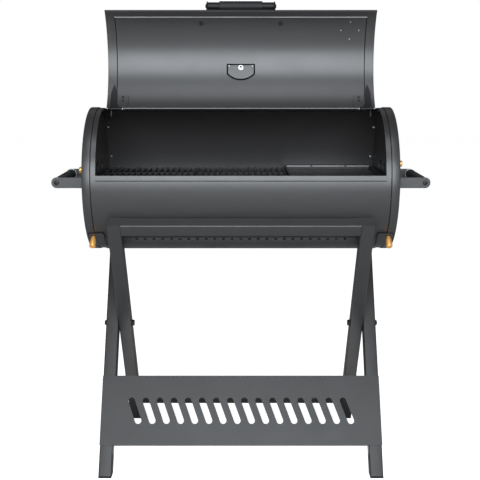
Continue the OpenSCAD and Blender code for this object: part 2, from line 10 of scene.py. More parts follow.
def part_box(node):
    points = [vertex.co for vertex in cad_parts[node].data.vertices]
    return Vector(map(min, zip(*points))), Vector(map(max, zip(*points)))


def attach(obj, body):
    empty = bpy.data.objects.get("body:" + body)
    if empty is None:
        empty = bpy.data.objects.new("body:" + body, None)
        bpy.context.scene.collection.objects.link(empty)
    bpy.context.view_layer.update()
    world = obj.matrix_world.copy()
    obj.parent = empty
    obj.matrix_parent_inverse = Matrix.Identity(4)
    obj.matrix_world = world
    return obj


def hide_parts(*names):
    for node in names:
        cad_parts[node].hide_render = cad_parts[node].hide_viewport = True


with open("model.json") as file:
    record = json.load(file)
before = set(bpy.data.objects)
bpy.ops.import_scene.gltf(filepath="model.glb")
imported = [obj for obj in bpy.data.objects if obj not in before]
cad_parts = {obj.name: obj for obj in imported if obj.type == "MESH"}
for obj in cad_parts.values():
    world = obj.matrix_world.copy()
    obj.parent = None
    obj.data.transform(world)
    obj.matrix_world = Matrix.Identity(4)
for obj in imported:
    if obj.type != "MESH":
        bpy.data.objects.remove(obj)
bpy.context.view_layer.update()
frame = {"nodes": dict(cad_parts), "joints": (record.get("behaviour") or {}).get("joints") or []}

bl_info = {
    "name": "Barrel smoker",
    "version": (1, 0, 0),
    "blender": (4, 5, 0),
    "location": "View3D > Sidebar > Smoker",
    "description": "Builds a barrel charcoal smoker on crossed legs, piece by piece",
    "category": "Add Mesh",
}

MM = 0.001


# ---------- angles in degrees ----------


def cosd(angle):
    return math.cos(math.radians(angle))


def sind(angle):
    return math.sin(math.radians(angle))


def spun(angle, axis):
    """Turn about one axis, in degrees."""
    return Matrix.Rotation(math.radians(angle), 4, axis)


# ---------- sizes taken from the frame, in millimetres ----------


def box_mm(node):
    low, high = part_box(node)
    return low / MM, high / MM


def joint(name):
    return next(j for j in frame["joints"] if j["name"] == name)


drum_low, drum_high = box_mm("drum_shell")
DRUM_R = (drum_high.z - drum_low.z) / 2
AXIS_Z = (drum_high.z + drum_low.z) / 2
DRUM_HALF = drum_high.x
OPENING_HALF = box_mm("front_hem")[1].x
LID_HALF = box_mm("lid_shell")[1].x
RING_LOW, RING_HIGH = box_mm("right_end_ring")
DISC_FACE = box_mm("right_end_disc")[1].x
VENT_LOW, VENT_HIGH = box_mm("right_vent_disc")
HINGE = Vector(joint("lid_hinge")["pos_m"]) / MM
OPEN_TURN = joint("lid_hinge")["range_deg"][1]
LEG_HIGH = box_mm("outer_legs")[1]
INNER_LEG_X = box_mm("inner_legs")[1].x
PAD_T = box_mm("foot_pads")[1].z
GRIP_LOW, GRIP_HIGH = box_mm("right_handle_grip")
HANDLE_HIGH = box_mm("right_handle")[1]

SHEET = 2.0
INNER_R = DRUM_R - SHEET
FRONT_EDGE = 8.3
REAR_EDGE = 98.0
LID_FRONT = 8.5
LID_REAR = 95.1
FRAME_WIDTH = 25.0
FRAME_MARGIN = 3.5
STRIP_EDGE = 14.5
AIR_PITCH = 26.3
AIR_HOLES = 25
AIR_R = 5.5
AIR_ROWS = (-49.6, -130.4)
DAMPER_R = DRUM_R + 2.5
DAMPER_EDGES = (-132.6, -47.4)
DAMPER_HALF = 419.0
TAB_X = (411.0, 458.0)
TAB_EDGES = (-60.0, -41.5)
SHOULDER_AT = (-97.0, -115.0)
SHOULDER_X = 220.0
SHOULDER_SLOT = (-1.1, 4.4)
KNOB_TAB = (444.0, -45.5)
VENT_KNOB_R = 82.0
KNOB_R = 9.5
KNOB_LEN = 37.0
VENT_POST = 9.0
VENT_KNOB_AT = {-1: 24.0, 1: 39.0}
VENT_HOLE_AT = 54.0
VENT_HOLE_R = 17.0
TUBE = 40.0
LEAN = 30.5
CROSS_D = (DRUM_R + TUBE / 2) / math.tan(math.radians(LEAN))
CROSS_Z = AXIS_Z - (DRUM_R + TUBE / 2) / sind(LEAN)
PANEL_TOP = CROSS_D + 178
PANEL_H = 216.0
CROSSBAR_AT = CROSS_D + 368
LID_BOLT = (124.0, 20.5)
BAR_AT = 15.5
BAR_OUT = DRUM_R + 66
BAR_HALF = 104.5
ARM_Y = 125.0
ARM_T = 5.0
GRIP_X = (GRIP_LOW.x + GRIP_HIGH.x) / 2
GAUGE_AT = 61.7
GAUGE_SIZE = (86.0, 48.4)
GAUGE_ARC_R = 58.0
STEM_Y = -13.8
BADGE_AT = (342.0, 26.9)
BADGE_R = 38.0
BADGE_RIVET = 28.0
BADGE_TURN = 7.3
DRUM_KNUCKLES = ((372.0, 383.0), (405.0, 416.0))
LID_KNUCKLE = (383.4, 404.6)
STRAP_TIP = 72.7
STRAP_ROOT = 94.6
SLOT_COUNT = 16
SLOT_PITCH = 44.0
SLOT_R = 10.0
SLOT_HALF = 33.0
SLOT_LEAN = -20.0
TAB_R = DAMPER_R + 0.02
FLANGE_RIVETS = [105 + 31 * k for k in range(9)]
FLANGE_RIVET_X = 436.0


# ---------- places ----------


def on_drum(angle, x=0.0, out=0.0):
    """Local Z points out of the drum at this angle, and local Y runs towards the rear over the top."""
    a = math.radians(angle)
    outward = Vector((0, -math.cos(a), math.sin(a)))
    around = Vector((0, math.sin(a), math.cos(a)))
    place = Matrix((Vector((1, 0, 0)), around, outward)).transposed().to_4x4()
    place.translation = Vector((x, 0, AXIS_Z)) + outward * out
    return place


LID_SWING = (
    Matrix.Translation(HINGE)
    @ spun(-OPEN_TURN, "X")
    @ Matrix.Translation(-HINGE)
)
HANDS = ((-1, "left"), (1, "right"))
ALONG_X = spun(90, "Y")
ALONG_Y = spun(-90, "X")
MIRROR_X = Matrix.Scale(-1, 4, Vector((1, 0, 0)))
FLIP = Matrix.Rotation(math.pi, 4, "X")
STANDING = Matrix(((1, 0, 0, 0), (0, 0, -1, 0), (0, 1, 0, 0), (0, 0, 0, 1)))
ACROSS_X = Matrix(((0, 0, 1, 0), (1, 0, 0, 0), (0, 1, 0, 0), (0, 0, 0, 1)))


def at(x=0.0, y=0.0, z=0.0):
    return Matrix.Translation((x, y, z))


def side(sign):
    """Leaves the right side as it is and mirrors the left one."""
    return MIRROR_X if sign < 0 else Matrix.Identity(4)


def end_of(sign, x=0.0):
    """Local Z runs outwards along the drum's axis at this end, from x."""
    return side(sign) @ at(x, 0, AXIS_Z) @ ALONG_X


# ---------- mesh tools, all in millimetres ----------


def steps(low, high, needed=(), longest=3.0):
    """Places from low to high that hold every needed one, no further apart than longest."""
    marks = sorted({round(v, 6) for v in (low, high, *needed) if low <= v <= high})
    found = [marks[0]]
    for a, b in zip(marks, marks[1:]):
        count = max(1, math.ceil((b - a) / longest - 1e-6))
        found += [a + (b - a) * k / count for k in range(1, count + 1)]
    return found


def on_cylinder(radius, angle, x):
    a = math.radians(angle)
    return Vector((x, -radius * math.cos(a), AXIS_Z + radius * math.sin(a)))


def thicken(bm, radius, thick):
    """Gives an outer skin its thickness towards the drum's axis."""
    bmesh.ops.remove_doubles(bm, verts=bm.verts, dist=1e-3)
    made = bmesh.ops.extrude_face_region(bm, geom=bm.faces[:])
    share = (radius - thick) / radius
    for v in (g for g in made["geom"] if isinstance(g, bmesh.types.BMVert)):
        v.co.y *= share
        v.co.z = AXIS_Z + (v.co.z - AXIS_Z) * share


def rolled(bm, radius, thick, edges, xs, keep=None, holes=(), needed_a=(), needed_x=(), longest=2.5):
    """Rolled sheet between two angles and two places along X. holes holds (angle, x), each with a
    square of four by four cells that its round hole sits in."""
    quarter = AIR_PITCH / 4
    turn = math.degrees(quarter / radius)
    rows = sorted({a for a, _ in holes})
    columns = sorted({x for _, x in holes})
    row_marks = [a + k * turn for a in rows for k in range(-2, 3)]
    column_marks = [x + k * quarter for x in columns for k in range(-2, 3)]
    angles = steps(edges[0], edges[1], [*needed_a, *row_marks], longest)
    places = steps(xs[0], xs[1], [*needed_x, *column_marks], 60)
    skin = bmesh.new()
    grid = [[skin.verts.new(on_cylinder(radius, a, x)) for x in places] for a in angles]

    def near(value, marks):
        return min(range(len(marks)), key=lambda k: abs(marks[k] - value))

    taken = set()
    for a, x in holes:
        i, j = near(a, angles), near(x, places)
        ring = [(i - 2, j + k) for k in range(-2, 2)] + [(i + k, j + 2) for k in range(-2, 2)]
        ring += [(i + 2, j - k) for k in range(-2, 2)] + [(i - k, j - 2) for k in range(-2, 2)]
        taken |= {(i + p, j + q) for p in range(-2, 2) for q in range(-2, 2)}
        inner = []
        for p, q in ring:
            off = Vector((places[q] - x, math.radians(angles[p] - a) * radius)).normalized() * AIR_R
            inner.append(skin.verts.new(on_cylinder(radius, a + math.degrees(off.y / radius), x + off.x)))
        for k, (p, q) in enumerate(ring):
            p2, q2 = ring[(k + 1) % len(ring)]
            skin.faces.new((grid[p][q], grid[p2][q2], inner[(k + 1) % len(ring)], inner[k]))
    for i in range(len(angles) - 1):
        for j in range(len(places) - 1):
            middle = ((angles[i] + angles[i + 1]) / 2, (places[j] + places[j + 1]) / 2)
            if (i, j) in taken or (keep and not keep(*middle)):
                continue
            skin.faces.new((grid[i][j], grid[i][j + 1], grid[i + 1][j + 1], grid[i + 1][j]))
    bmesh.ops.delete(skin, geom=[v for v in skin.verts if not v.link_faces], context="VERTS")
    thicken(skin, radius, thick)
    absorb(bm, skin)


def absorb(bm, other, place=None):
    """Moves another mesh's geometry into bm."""
    if place is not None:
        bmesh.ops.transform(other, matrix=place, verts=other.verts)
    bmesh.ops.recalc_face_normals(other, faces=other.faces)
    held = bpy.data.meshes.new("held")
    other.to_mesh(held)
    other.free()
    bm.from_mesh(held)
    bpy.data.meshes.remove(held)


def arc(cx, cy, radius, start, end, count):
    """Points of an arc, in degrees."""
    return [
        (cx + radius * cosd(start + (end - start) * k / count),
         cy + radius * sind(start + (end - start) * k / count))
        for k in range(count + 1)
    ]


def ring_points(radius, count=48, cx=0.0, cy=0.0):
    return arc(cx, cy, radius, 0, 360, count)[:-1]


def rounded(width, height, radius, cx=0.0, cy=0.0, count=5):
    """Outline of a rectangle with round corners."""
    points = []
    for sx, sy, start in ((1, 1, 0), (-1, 1, 90), (-1, -1, 180), (1, -1, 270)):
        x = cx + sx * (width / 2 - radius)
        y = cy + sy * (height / 2 - radius)
        points += arc(x, y, radius, start, start + 90, count)
    return points


def plate(bm, loops, thick, place=None, wrap=None):
    """Flat plate whose first loop is its outline and whose other loops are holes. wrap=(radius, angle, x)
    rolls it round the drum's axis, with local Y along the roll."""
    flat = bmesh.new()
    edges = []
    for loop in loops:
        verts = [flat.verts.new((x, y, 0)) for x, y in loop]
        edges += [flat.edges.new((a, b)) for a, b in zip(verts, verts[1:] + verts[:1])]
    bmesh.ops.triangle_fill(flat, use_beauty=True, use_dissolve=False, edges=edges)
    if wrap:
        ys = [v.co.y for v in flat.verts]
        for y in steps(min(ys), max(ys), longest=6)[1:-1]:
            bmesh.ops.bisect_plane(flat, geom=flat.verts[:] + flat.edges[:] + flat.faces[:],
                                   plane_co=(0, y, 0), plane_no=(0, 1, 0), dist=1e-5)
        bmesh.ops.triangulate(flat, faces=flat.faces[:])
    made = bmesh.ops.extrude_face_region(flat, geom=flat.faces[:])
    for v in (g for g in made["geom"] if isinstance(g, bmesh.types.BMVert)):
        v.co.z += thick
    if wrap:
        radius, angle, x = wrap
        for v in flat.verts:
            turn = angle + math.degrees(v.co.y / radius)
            v.co = on_cylinder(radius + v.co.z, turn, x + v.co.x)
    absorb(bm, flat, place)


def turned(bm, profile, place=None, count=40):
    """Turns a profile of (radius, height) about local Z. It starts and ends on the axis, or is a closed
    loop whose last point repeats its first."""
    lathe = bmesh.new()
    closed = profile[0] == profile[-1]
    points = profile[:-1] if closed else profile
    verts = [lathe.verts.new((r, 0, z)) for r, z in points]
    pairs = list(zip(verts, verts[1:] + verts[:1])) if closed else list(zip(verts, verts[1:]))
    edges = [lathe.edges.new(pair) for pair in pairs]
    bmesh.ops.spin(lathe, geom=verts + edges, cent=(0, 0, 0), axis=(0, 0, 1), dvec=(0, 0, 0),
                   angle=math.tau, steps=count, use_merge=True, use_duplicate=False)
    bmesh.ops.remove_doubles(lathe, verts=lathe.verts, dist=1e-4)
    absorb(bm, lathe, place)


def hoop(bm, inner, outer, low, high, place, count=180):
    """Ring of rectangular section round local Z."""
    turned(bm, [(inner, low), (outer, low), (outer, high), (inner, high), (inner, low)], place, count)


def swing(bm, place=None):
    """Moves parts drawn on the shut lid to the open one."""
    bmesh.ops.transform(bm, matrix=LID_SWING if place is None else LID_SWING @ place, verts=bm.verts)


def rod(bm, radius, length, place=None, chamfer=0.8, count=40):
    """Round rod along local Z, centred, with eased ends."""
    half = length / 2
    turned(bm, [(0, -half), (radius - chamfer, -half), (radius, -half + chamfer),
                (radius, half - chamfer), (radius - chamfer, half), (0, half)], place, count)


def block(bm, low, high, place=None):
    """Box between two corners."""
    size = Vector(high) - Vector(low)
    middle = (Vector(high) + Vector(low)) / 2
    solid = bmesh.new()
    bmesh.ops.create_cube(solid, size=1.0)
    bmesh.ops.scale(solid, vec=size, verts=solid.verts)
    bmesh.ops.translate(solid, vec=middle, verts=solid.verts)
    absorb(bm, solid, place)


def bolt_head(bm, radius, height, place=None, sides=0):
    """Low domed head with a recess, standing on local Z, or a hexagon when sides is six."""
    if sides:
        plate(bm, [ring_points(radius, sides)], height, place)
        return
    recess = radius * 0.42
    turned(bm, [(0, 0), (radius, 0), (radius, height * 0.35), (radius * 0.86, height * 0.78),
                (radius * 0.6, height), (recess, height), (recess * 0.8, height * 0.45),
                (0, height * 0.45)], place, 28)


def square_bar(bm, length, place, corner=3.0):
    """Square tube along local Z, from its origin, with round corners."""
    plate(bm, [rounded(TUBE, TUBE, corner)], length, place)


def make_piece(name, bm, finish, body, nodes=(), bevel=0.0, smooth=32.0):
    """Turns millimetres into metres, checks that the mesh is closed, parents the piece to its body's empty
    and hides the frame parts it replaces.
    """
    bmesh.ops.scale(bm, vec=(MM, MM, MM), verts=bm.verts)
    bmesh.ops.recalc_face_normals(bm, faces=bm.faces)
    if any(not e.is_manifold for e in bm.edges):
        raise RuntimeError(f"{name} is not closed")
    mesh = bpy.data.meshes.new(name)
    bm.to_mesh(mesh)
    bm.free()
    mesh.shade_smooth()
    mesh.set_sharp_from_angle(angle=math.radians(smooth))
    piece = bpy.data.objects.new(name, mesh)
    bpy.context.scene.collection.objects.link(piece)
    mesh.materials.append(finish_material(finish))
    if bevel:
        eased = piece.modifiers.new("Eased edges", "BEVEL")
        eased.width = bevel * MM
        eased.segments = 2
        eased.limit_method = "ANGLE"
        eased.angle_limit = math.radians(40)
        eased.harden_normals = True
    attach(piece, body)
    if nodes:
        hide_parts(*nodes)
    return piece


def fixed(name, bm, finish, *nodes, **how):
    """Piece of the body that stands still."""
    return make_piece(name, bm, finish, "smoker_body", nodes, **how)


def on_lid(name, bm, finish, *nodes, **how):
    """Piece that swings with the lid."""
    return make_piece(name, bm, finish, "lid", nodes, **how)


# ---------- finishes ----------


# colour, second colour, roughness, metallic, grain size, grain height, reflection
FINISHES = {
    "powder_coat": ((0.0245, 0.0232, 0.0235), (0.020, 0.019, 0.0192), 0.34, 0.0, 1500.0, 0.22, 0.5),
    # darker copy of the powder coat: painted shade on the outer legs and the front panel
    "shaded_stand_coat": ((0.018, 0.018, 0.019), (0.015, 0.015, 0.016), 0.40, 0.0, 1500.0, 0.22, 0.28),
    "inside_coat": ((0.026, 0.025, 0.025), (0.020, 0.019, 0.019), 0.46, 0.0, 1500.0, 0.22, 0.4),
    "black_coat": ((0.010, 0.010, 0.011), (0.007, 0.007, 0.008), 0.42, 0.0, 1500.0, 0.15, 0.16),
    # near-black finish: the gasket and the drip lip, and thin strips that are painted shadow lines along
    # steps and gaps
    "seam_and_painted_shade": ((0.004, 0.004, 0.004), (0.003, 0.003, 0.003), 0.80, 0.0, 1500.0, 0.05, 0.05),
    # light grey finish: painted highlight standing for edges that catch the light
    "painted_edge_highlight": ((0.34, 0.33, 0.33), (0.26, 0.25, 0.25), 0.50, 0.0, 900.0, 0.10, 0.5),
    "zinc": ((0.56, 0.56, 0.56), (0.42, 0.42, 0.42), 0.36, 1.0, 700.0, 0.10, 0.5),
    "black_bolt": ((0.012, 0.012, 0.013), (0.008, 0.008, 0.009), 0.40, 0.0, 700.0, 0.10, 0.25),
    "polished": ((0.80, 0.80, 0.81), (0.72, 0.72, 0.73), 0.14, 1.0, 500.0, 0.03, 0.5),
    "plain_steel": ((0.42, 0.42, 0.43), (0.33, 0.33, 0.34), 0.34, 0.9, 600.0, 0.08, 0.5),
    "copper_knob": ((0.80, 0.42, 0.13), (0.70, 0.34, 0.09), 0.30, 0.55, 500.0, 0.05, 0.5),
    "cast_enamel": ((0.014, 0.0145, 0.016), (0.009, 0.009, 0.010), 0.38, 0.0, 420.0, 0.45, 0.30),
    "grip_plastic": ((0.010, 0.010, 0.011), (0.007, 0.007, 0.008), 0.60, 0.0, 900.0, 0.20, 0.3),
    "dial_face": ((0.84, 0.84, 0.81), (0.80, 0.80, 0.77), 0.55, 0.0, 900.0, 0.03, 0.5),
    "needle_paint": ((0.60, 0.04, 0.03), (0.50, 0.03, 0.02), 0.40, 0.0, 900.0, 0.03, 0.5),
}


def add_node(tree, kind, **values):
    """Adds a node to a tree and sets its inputs by name."""
    node = tree.nodes.new(kind)
    for name, value in values.items():
        node.inputs[name].default_value = value
    return node


def grain_group():
    """Node group that gives a coat its slow mottling and its fine grain."""
    if "Coat grain" in bpy.data.node_groups:
        return bpy.data.node_groups["Coat grain"]
    group = bpy.data.node_groups.new("Coat grain", "ShaderNodeTree")
    face = group.interface
    for name, kind, start in (
        ("Colour", "NodeSocketColor", (0.1, 0.1, 0.1, 1)),
        ("Second Colour", "NodeSocketColor", (0.1, 0.1, 0.1, 1)),
        ("Roughness", "NodeSocketFloat", 0.4),
        ("Grain Size", "NodeSocketFloat", 1000.0),
        ("Grain Height", "NodeSocketFloat", 0.2),
    ):
        face.new_socket(name, in_out="INPUT", socket_type=kind).default_value = start
    for name, kind in (
        ("Colour", "NodeSocketColor"),
        ("Roughness", "NodeSocketFloat"),
        ("Normal", "NodeSocketVector"),
    ):
        face.new_socket(name, in_out="OUTPUT", socket_type=kind)
    given = add_node(group, "NodeGroupInput").outputs
    result = add_node(group, "NodeGroupOutput").inputs
    place = add_node(group, "ShaderNodeTexCoord").outputs["Object"]
    mottle = add_node(group, "ShaderNodeTexNoise", Scale=14.0, Detail=4.0)
    mix = add_node(group, "ShaderNodeMix")
    mix.data_type = "RGBA"
    shift = add_node(group, "ShaderNodeMapRange", **{"To Min": -0.05, "To Max": 0.05})
    add = add_node(group, "ShaderNodeMath")
    grain = add_node(group, "ShaderNodeTexNoise", Detail=2.0)
    bump = add_node(group, "ShaderNodeBump", Distance=0.0002)
    for source, target in (
        (place, mottle.inputs["Vector"]),
        (mottle.outputs["Fac"], mix.inputs["Factor"]),
        (given["Colour"], mix.inputs[6]),
        (given["Second Colour"], mix.inputs[7]),
        (mix.outputs[2], result["Colour"]),
        (mottle.outputs["Fac"], shift.inputs["Value"]),
        (given["Roughness"], add.inputs[0]),
        (shift.outputs["Result"], add.inputs[1]),
        (add.outputs["Value"], result["Roughness"]),
        (place, grain.inputs["Vector"]),
        (given["Grain Size"], grain.inputs["Scale"]),
        (given["Grain Height"], bump.inputs["Strength"]),
        (grain.outputs["Fac"], bump.inputs["Height"]),
        (bump.outputs["Normal"], result["Normal"]),
    ):
        group.links.new(source, target)
    return group


def glass_material():
    material = bpy.data.materials.new("gauge_glass")
    material.use_nodes = True
    shader = material.node_tree.nodes["Principled BSDF"]
    shader.inputs["Base Color"].default_value = (0.92, 0.96, 0.96, 1)
    shader.inputs["Roughness"].default_value = 0.03
    shader.inputs["Transmission Weight"].default_value = 1.0
    shader.inputs["IOR"].default_value = 1.46
    return material


def finish_material(name):
    if name in bpy.data.materials:
        return bpy.data.materials[name]
    if name == "gauge_glass":
        return glass_material()
    first, second, rough, metal, size, height, shine = FINISHES[name]
    colours = bpy.context.scene.smoker_colours
    if name == "powder_coat":
        first = tuple(colours.coat)
        second = tuple(0.82 * c for c in colours.coat)
    # the stand coat is the powder coat darkened: painted shade
    if name == "shaded_stand_coat":
        first = tuple(0.68 * c for c in colours.coat)
        second = tuple(0.57 * c for c in colours.coat)
    if name == "copper_knob":
        first = tuple(colours.knob)
    material = bpy.data.materials.new(name)
    material.use_nodes = True
    nodes, links = material.node_tree.nodes, material.node_tree.links
    shader = nodes["Principled BSDF"]
    shader.inputs["Metallic"].default_value = metal
    shader.inputs["Specular IOR Level"].default_value = shine
    coat = nodes.new("ShaderNodeGroup")
    coat.node_tree = grain_group()
    coat.inputs["Colour"].default_value = (*first, 1)
    coat.inputs["Second Colour"].default_value = (*second, 1)
    coat.inputs["Roughness"].default_value = rough
    coat.inputs["Grain Size"].default_value = size
    coat.inputs["Grain Height"].default_value = height
    links.new(coat.outputs["Colour"], shader.inputs["Base Color"])
    links.new(coat.outputs["Roughness"], shader.inputs["Roughness"])
    links.new(coat.outputs["Normal"], shader.inputs["Normal"])
    return material


# ---------- settings ----------


class SmokerSizes(bpy.types.PropertyGroup):
    """Sizes of the drawn details."""

    edge: bpy.props.FloatProperty(
        name="Edge easing", description="Width of the eased edges of sheet parts, in millimetres",
        default=0.5, min=0.1, max=0.9)
    tube_corner: bpy.props.FloatProperty(
        name="Tube corner", description="Corner radius of the square tubes, in millimetres",
        default=3.5, min=1.0, max=8.0)
    grip_rib: bpy.props.FloatProperty(
        name="Grip rib", description="Depth of the grooves round the side grips, in millimetres",
        default=1.2, min=0.2, max=2.5)
    dial_ticks: bpy.props.IntProperty(
        name="Dial marks", description="Marks on the thermometer's scale", default=11, min=5, max=31)


class SmokerColours(bpy.types.PropertyGroup):
    """Colours of the main finishes."""

    coat: bpy.props.FloatVectorProperty(
        name="Powder coat", description="Colour of the drum, the lid and the stand",
        subtype="COLOR", size=3, min=0, max=1, default=FINISHES["powder_coat"][0])
    knob: bpy.props.FloatVectorProperty(
        name="Knobs", description="Colour of the damper and vent knobs",
        subtype="COLOR", size=3, min=0, max=1, default=FINISHES["copper_knob"][0])


def sizes():
    return bpy.context.scene.smoker_sizes


class PieceOperator(bpy.types.Operator):
    """Base of the operators that make pieces."""

    bl_options = {"REGISTER", "UNDO"}

    def execute(self, context):
        self.make()
        return {"FINISHED"}


# ---------- drum ----------


def air_holes():
    return [(a, (k - (AIR_HOLES - 1) / 2) * AIR_PITCH) for a in AIR_ROWS for k in range(AIR_HOLES)]


class SMOKER_OT_drum(PieceOperator):
    """Rolled drum body with its lid opening and its rows of air holes"""

    bl_idname = "smoker.drum"
    bl_label = "Drum"

    def make(self):
        bm = bmesh.new()
        rolled(bm, DRUM_R, SHEET, (REAR_EDGE - 360, REAR_EDGE), (-DRUM_HALF, DRUM_HALF),
               keep=lambda a, x: a < FRONT_EDGE or abs(x) > OPENING_HALF,
               holes=air_holes(), needed_a=(FRONT_EDGE,), needed_x=(-OPENING_HALF, OPENING_HALF))
        fixed("drum_body", bm, "powder_coat", "drum_shell")
        bm = bmesh.new()
        rolled(bm, DRUM_R + 1.5, 1.5, (4.5, FRONT_EDGE), (-OPENING_HALF, OPENING_HALF))
        fixed("opening_hem", bm, "powder_coat", "front_hem", bevel=0.4)
        bm = bmesh.new()
        rolled(bm, DRUM_R - 7.5, SHEET, (92.5, 99.2), (-360, 360))
        rolled(bm, INNER_R, 7, (98.3, 99.2), (-360, 360))
        fixed("drip_lip", bm, "seam_and_painted_shade", "rear_lip", bevel=0.2)
        bm = bmesh.new()
        # near-black strip under the hem and hoops beside the end rings: painted shadow lines of their steps
        rolled(bm, DRUM_R + 0.4, 0.4, (4.0, 4.5), (-OPENING_HALF, OPENING_HALF))
        for sign in (-1, 1):
            hoop(bm, DRUM_R, DRUM_R + 0.5, RING_LOW.x - 1.8, RING_LOW.x, end_of(sign))
        fixed("drum_shadow_lines", bm, "seam_and_painted_shade")


class SMOKER_OT_ends(PieceOperator):
    """End rings, end discs with their air vents, flanges and rivets"""

    bl_idname = "smoker.ends"
    bl_label = "Drum ends"

    def vent_plate(self, radius, bore, turn=0.0):
        holes = [ring_points(VENT_HOLE_R, 32, VENT_HOLE_AT * cosd(45 + 90 * k + turn),
                             VENT_HOLE_AT * sind(45 + 90 * k + turn)) for k in range(4)]
        return [ring_points(radius, 144), ring_points(bore, 24), *holes]

    def make(self):
        for sign, name in HANDS:
            bm = bmesh.new()
            low, high = RING_LOW.x, RING_HIGH.x
            outer = DRUM_R + 2
            profile = [(DRUM_R, low), (outer - 0.6, low), (outer, low + 0.8), (outer, high - 1.6),
                       (outer - 0.5, high - 0.5), (outer - 1.6, high), (DRUM_R, high), (DRUM_R, low)]
            turned(bm, profile, end_of(sign), 180)
            fixed(f"{name}_band", bm, "powder_coat", f"{name}_end_ring")
            bm = bmesh.new()
            plate(bm, self.vent_plate(INNER_R - 0.1, 4), SHEET,
                  end_of(sign, DISC_FACE - SHEET))
            fixed(f"{name}_end_plate", bm, "powder_coat", f"{name}_end_disc")
            bm = bmesh.new()
            plate(bm, self.vent_plate(VENT_HIGH.y, 4.1, 45), SHEET,
                  end_of(sign, VENT_LOW.x))
            make_piece(f"{name}_vent_plate", bm, "black_coat", f"{name}_vent", [f"{name}_vent_disc"],
                       bevel=0.5)
        bm = bmesh.new()
        for sign in (-1, 1):
            face = DISC_FACE - SHEET
            hoop(bm, INNER_R - 2, INNER_R, face - 14, face, end_of(sign))
        fixed("end_plate_flanges", bm, "powder_coat", "end_flanges")
        bm = bmesh.new()
        for sign in (-1, 1):
            for angle in FLANGE_RIVETS:
                place = side(sign) @ on_drum(angle, FLANGE_RIVET_X, INNER_R - 2)
                bolt_head(bm, 3.5, 1.5, place @ FLIP)
                rod(bm, 1.9, 2.4, place @ at(0, 0, 1.4), 0.2, 16)
        fixed("flange_rivets", bm, "zinc", "end_rivets")
        bm = bmesh.new()
        for sign in (-1, 1):
            outside = end_of(sign, VENT_HIGH.x + 0.5)
            bolt_head(bm, 9, 3, outside)
            inside = end_of(sign, DISC_FACE - SHEET) @ FLIP
            bolt_head(bm, 7, 2, inside)
            rod(bm, 3.9, 5, end_of(sign, DISC_FACE + 0.5), 0.2, 24)
        fixed("vent_rivets", bm, "zinc", "vent_pivots")


def knob_profile(post):
    """Knob that widens from a rounded foot to a blunt end, with a post and a stud below it."""
    foot = [(4.4 + 1.6 * sind(a), 1.6 * (1 - cosd(a)))
            for a in range(0, 91, 15)]
    body = [(6.0 + 3.5 * sind(a), 1.6 + 21.3 * a / 90) for a in range(10, 91, 10)]
    end = arc(KNOB_R - 2.4, KNOB_LEN - 2.4, 2.4, 0, 90, 6)
    grip = [(r, z + post) for r, z in (*foot, *body, *end, (0, KNOB_LEN))]
    return [(0, -2), (2.9, -2), (2.9, 0), (4.4, 0), *(grip if post else grip[1:])]


class SMOKER_OT_knobs(PieceOperator):
    """Copper coloured knobs of the end vents and the bottom damper"""

    bl_idname = "smoker.knobs"
    bl_label = "Knobs"

    def make(self):
        for sign, name in HANDS:
            a = math.radians(VENT_KNOB_AT[sign])
            spot = at(VENT_HIGH.x, -VENT_KNOB_R * math.cos(a), AXIS_Z + VENT_KNOB_R * math.sin(a))
            bm = bmesh.new()
            turned(bm, knob_profile(VENT_POST), side(sign) @ spot @ ALONG_X, 48)
            make_piece(f"{name}_vent_grip", bm, "copper_knob", f"{name}_vent", [f"{name}_vent_knob"])
            bm = bmesh.new()
            place = side(sign) @ on_drum(KNOB_TAB[1], KNOB_TAB[0], DAMPER_R + SHEET)
            turned(bm, knob_profile(0), place, 48)
            make_piece(f"{name}_damper_grip", bm, "copper_knob", "bottom_damper", [f"{name}_damper_knob"])


class SMOKER_OT_damper(PieceOperator):
    """Curved damper under the drum, with its end tabs and shoulder screws"""

    bl_idname = "smoker.damper"
    bl_label = "Bottom damper"

    def tabs(self, bm, grow, corner, thick):
        """Curved plates of the two end tabs' outline, grown by this much."""
        length = math.radians(TAB_EDGES[1] - TAB_EDGES[0]) * TAB_R
        outline = rounded(TAB_X[1] - TAB_X[0] + grow, length + grow, corner)
        for sign in (-1, 1):
            tab = bmesh.new()
            plate(tab, [outline], thick, wrap=(TAB_R, sum(TAB_EDGES) / 2, sum(TAB_X) / 2))
            absorb(bm, tab, side(sign))

    def make(self):
        slots = [(a + SHOULDER_SLOT[0], a + SHOULDER_SLOT[1], x)
                 for a in SHOULDER_AT for x in (-SHOULDER_X, SHOULDER_X)]

        def keep(a, x):
            return not any(low < a < high and abs(x - spot) < 4 for low, high, spot in slots)

        bm = bmesh.new()
        rolled(bm, DAMPER_R, SHEET, DAMPER_EDGES, (-DAMPER_HALF, DAMPER_HALF), keep=keep,
               holes=air_holes(), needed_a=[v for low, high, _ in slots for v in (low, high)],
               needed_x=[x + d for _, _, x in slots for d in (-4, 4)])
        self.tabs(bm, 0, 6, SHEET - 0.02)
        make_piece("damper_sheet", bm, "powder_coat", "bottom_damper", ["damper_shell"])
        bm = bmesh.new()
        # near-black plates a little bigger than the tabs: painted shadow outline round them
        self.tabs(bm, 3, 7, 0.5)
        make_piece("damper_tab_shadow_lines", bm, "seam_and_painted_shade", "bottom_damper")
        bm = bmesh.new()
        for a in SHOULDER_AT:
            for x in (-SHOULDER_X, SHOULDER_X):
                bolt_head(bm, 8, 3, on_drum(a, x, DAMPER_R + 0.5))
                rod(bm, 2.9, 12, on_drum(a, x, DRUM_R), 0.2, 20)
                place = on_drum(a, x, INNER_R - 6)
                bolt_head(bm, 5.5, 5, place, sides=6)
        fixed("shoulder_screws", bm, "zinc", "damper_screws")


# ---------- lid ----------


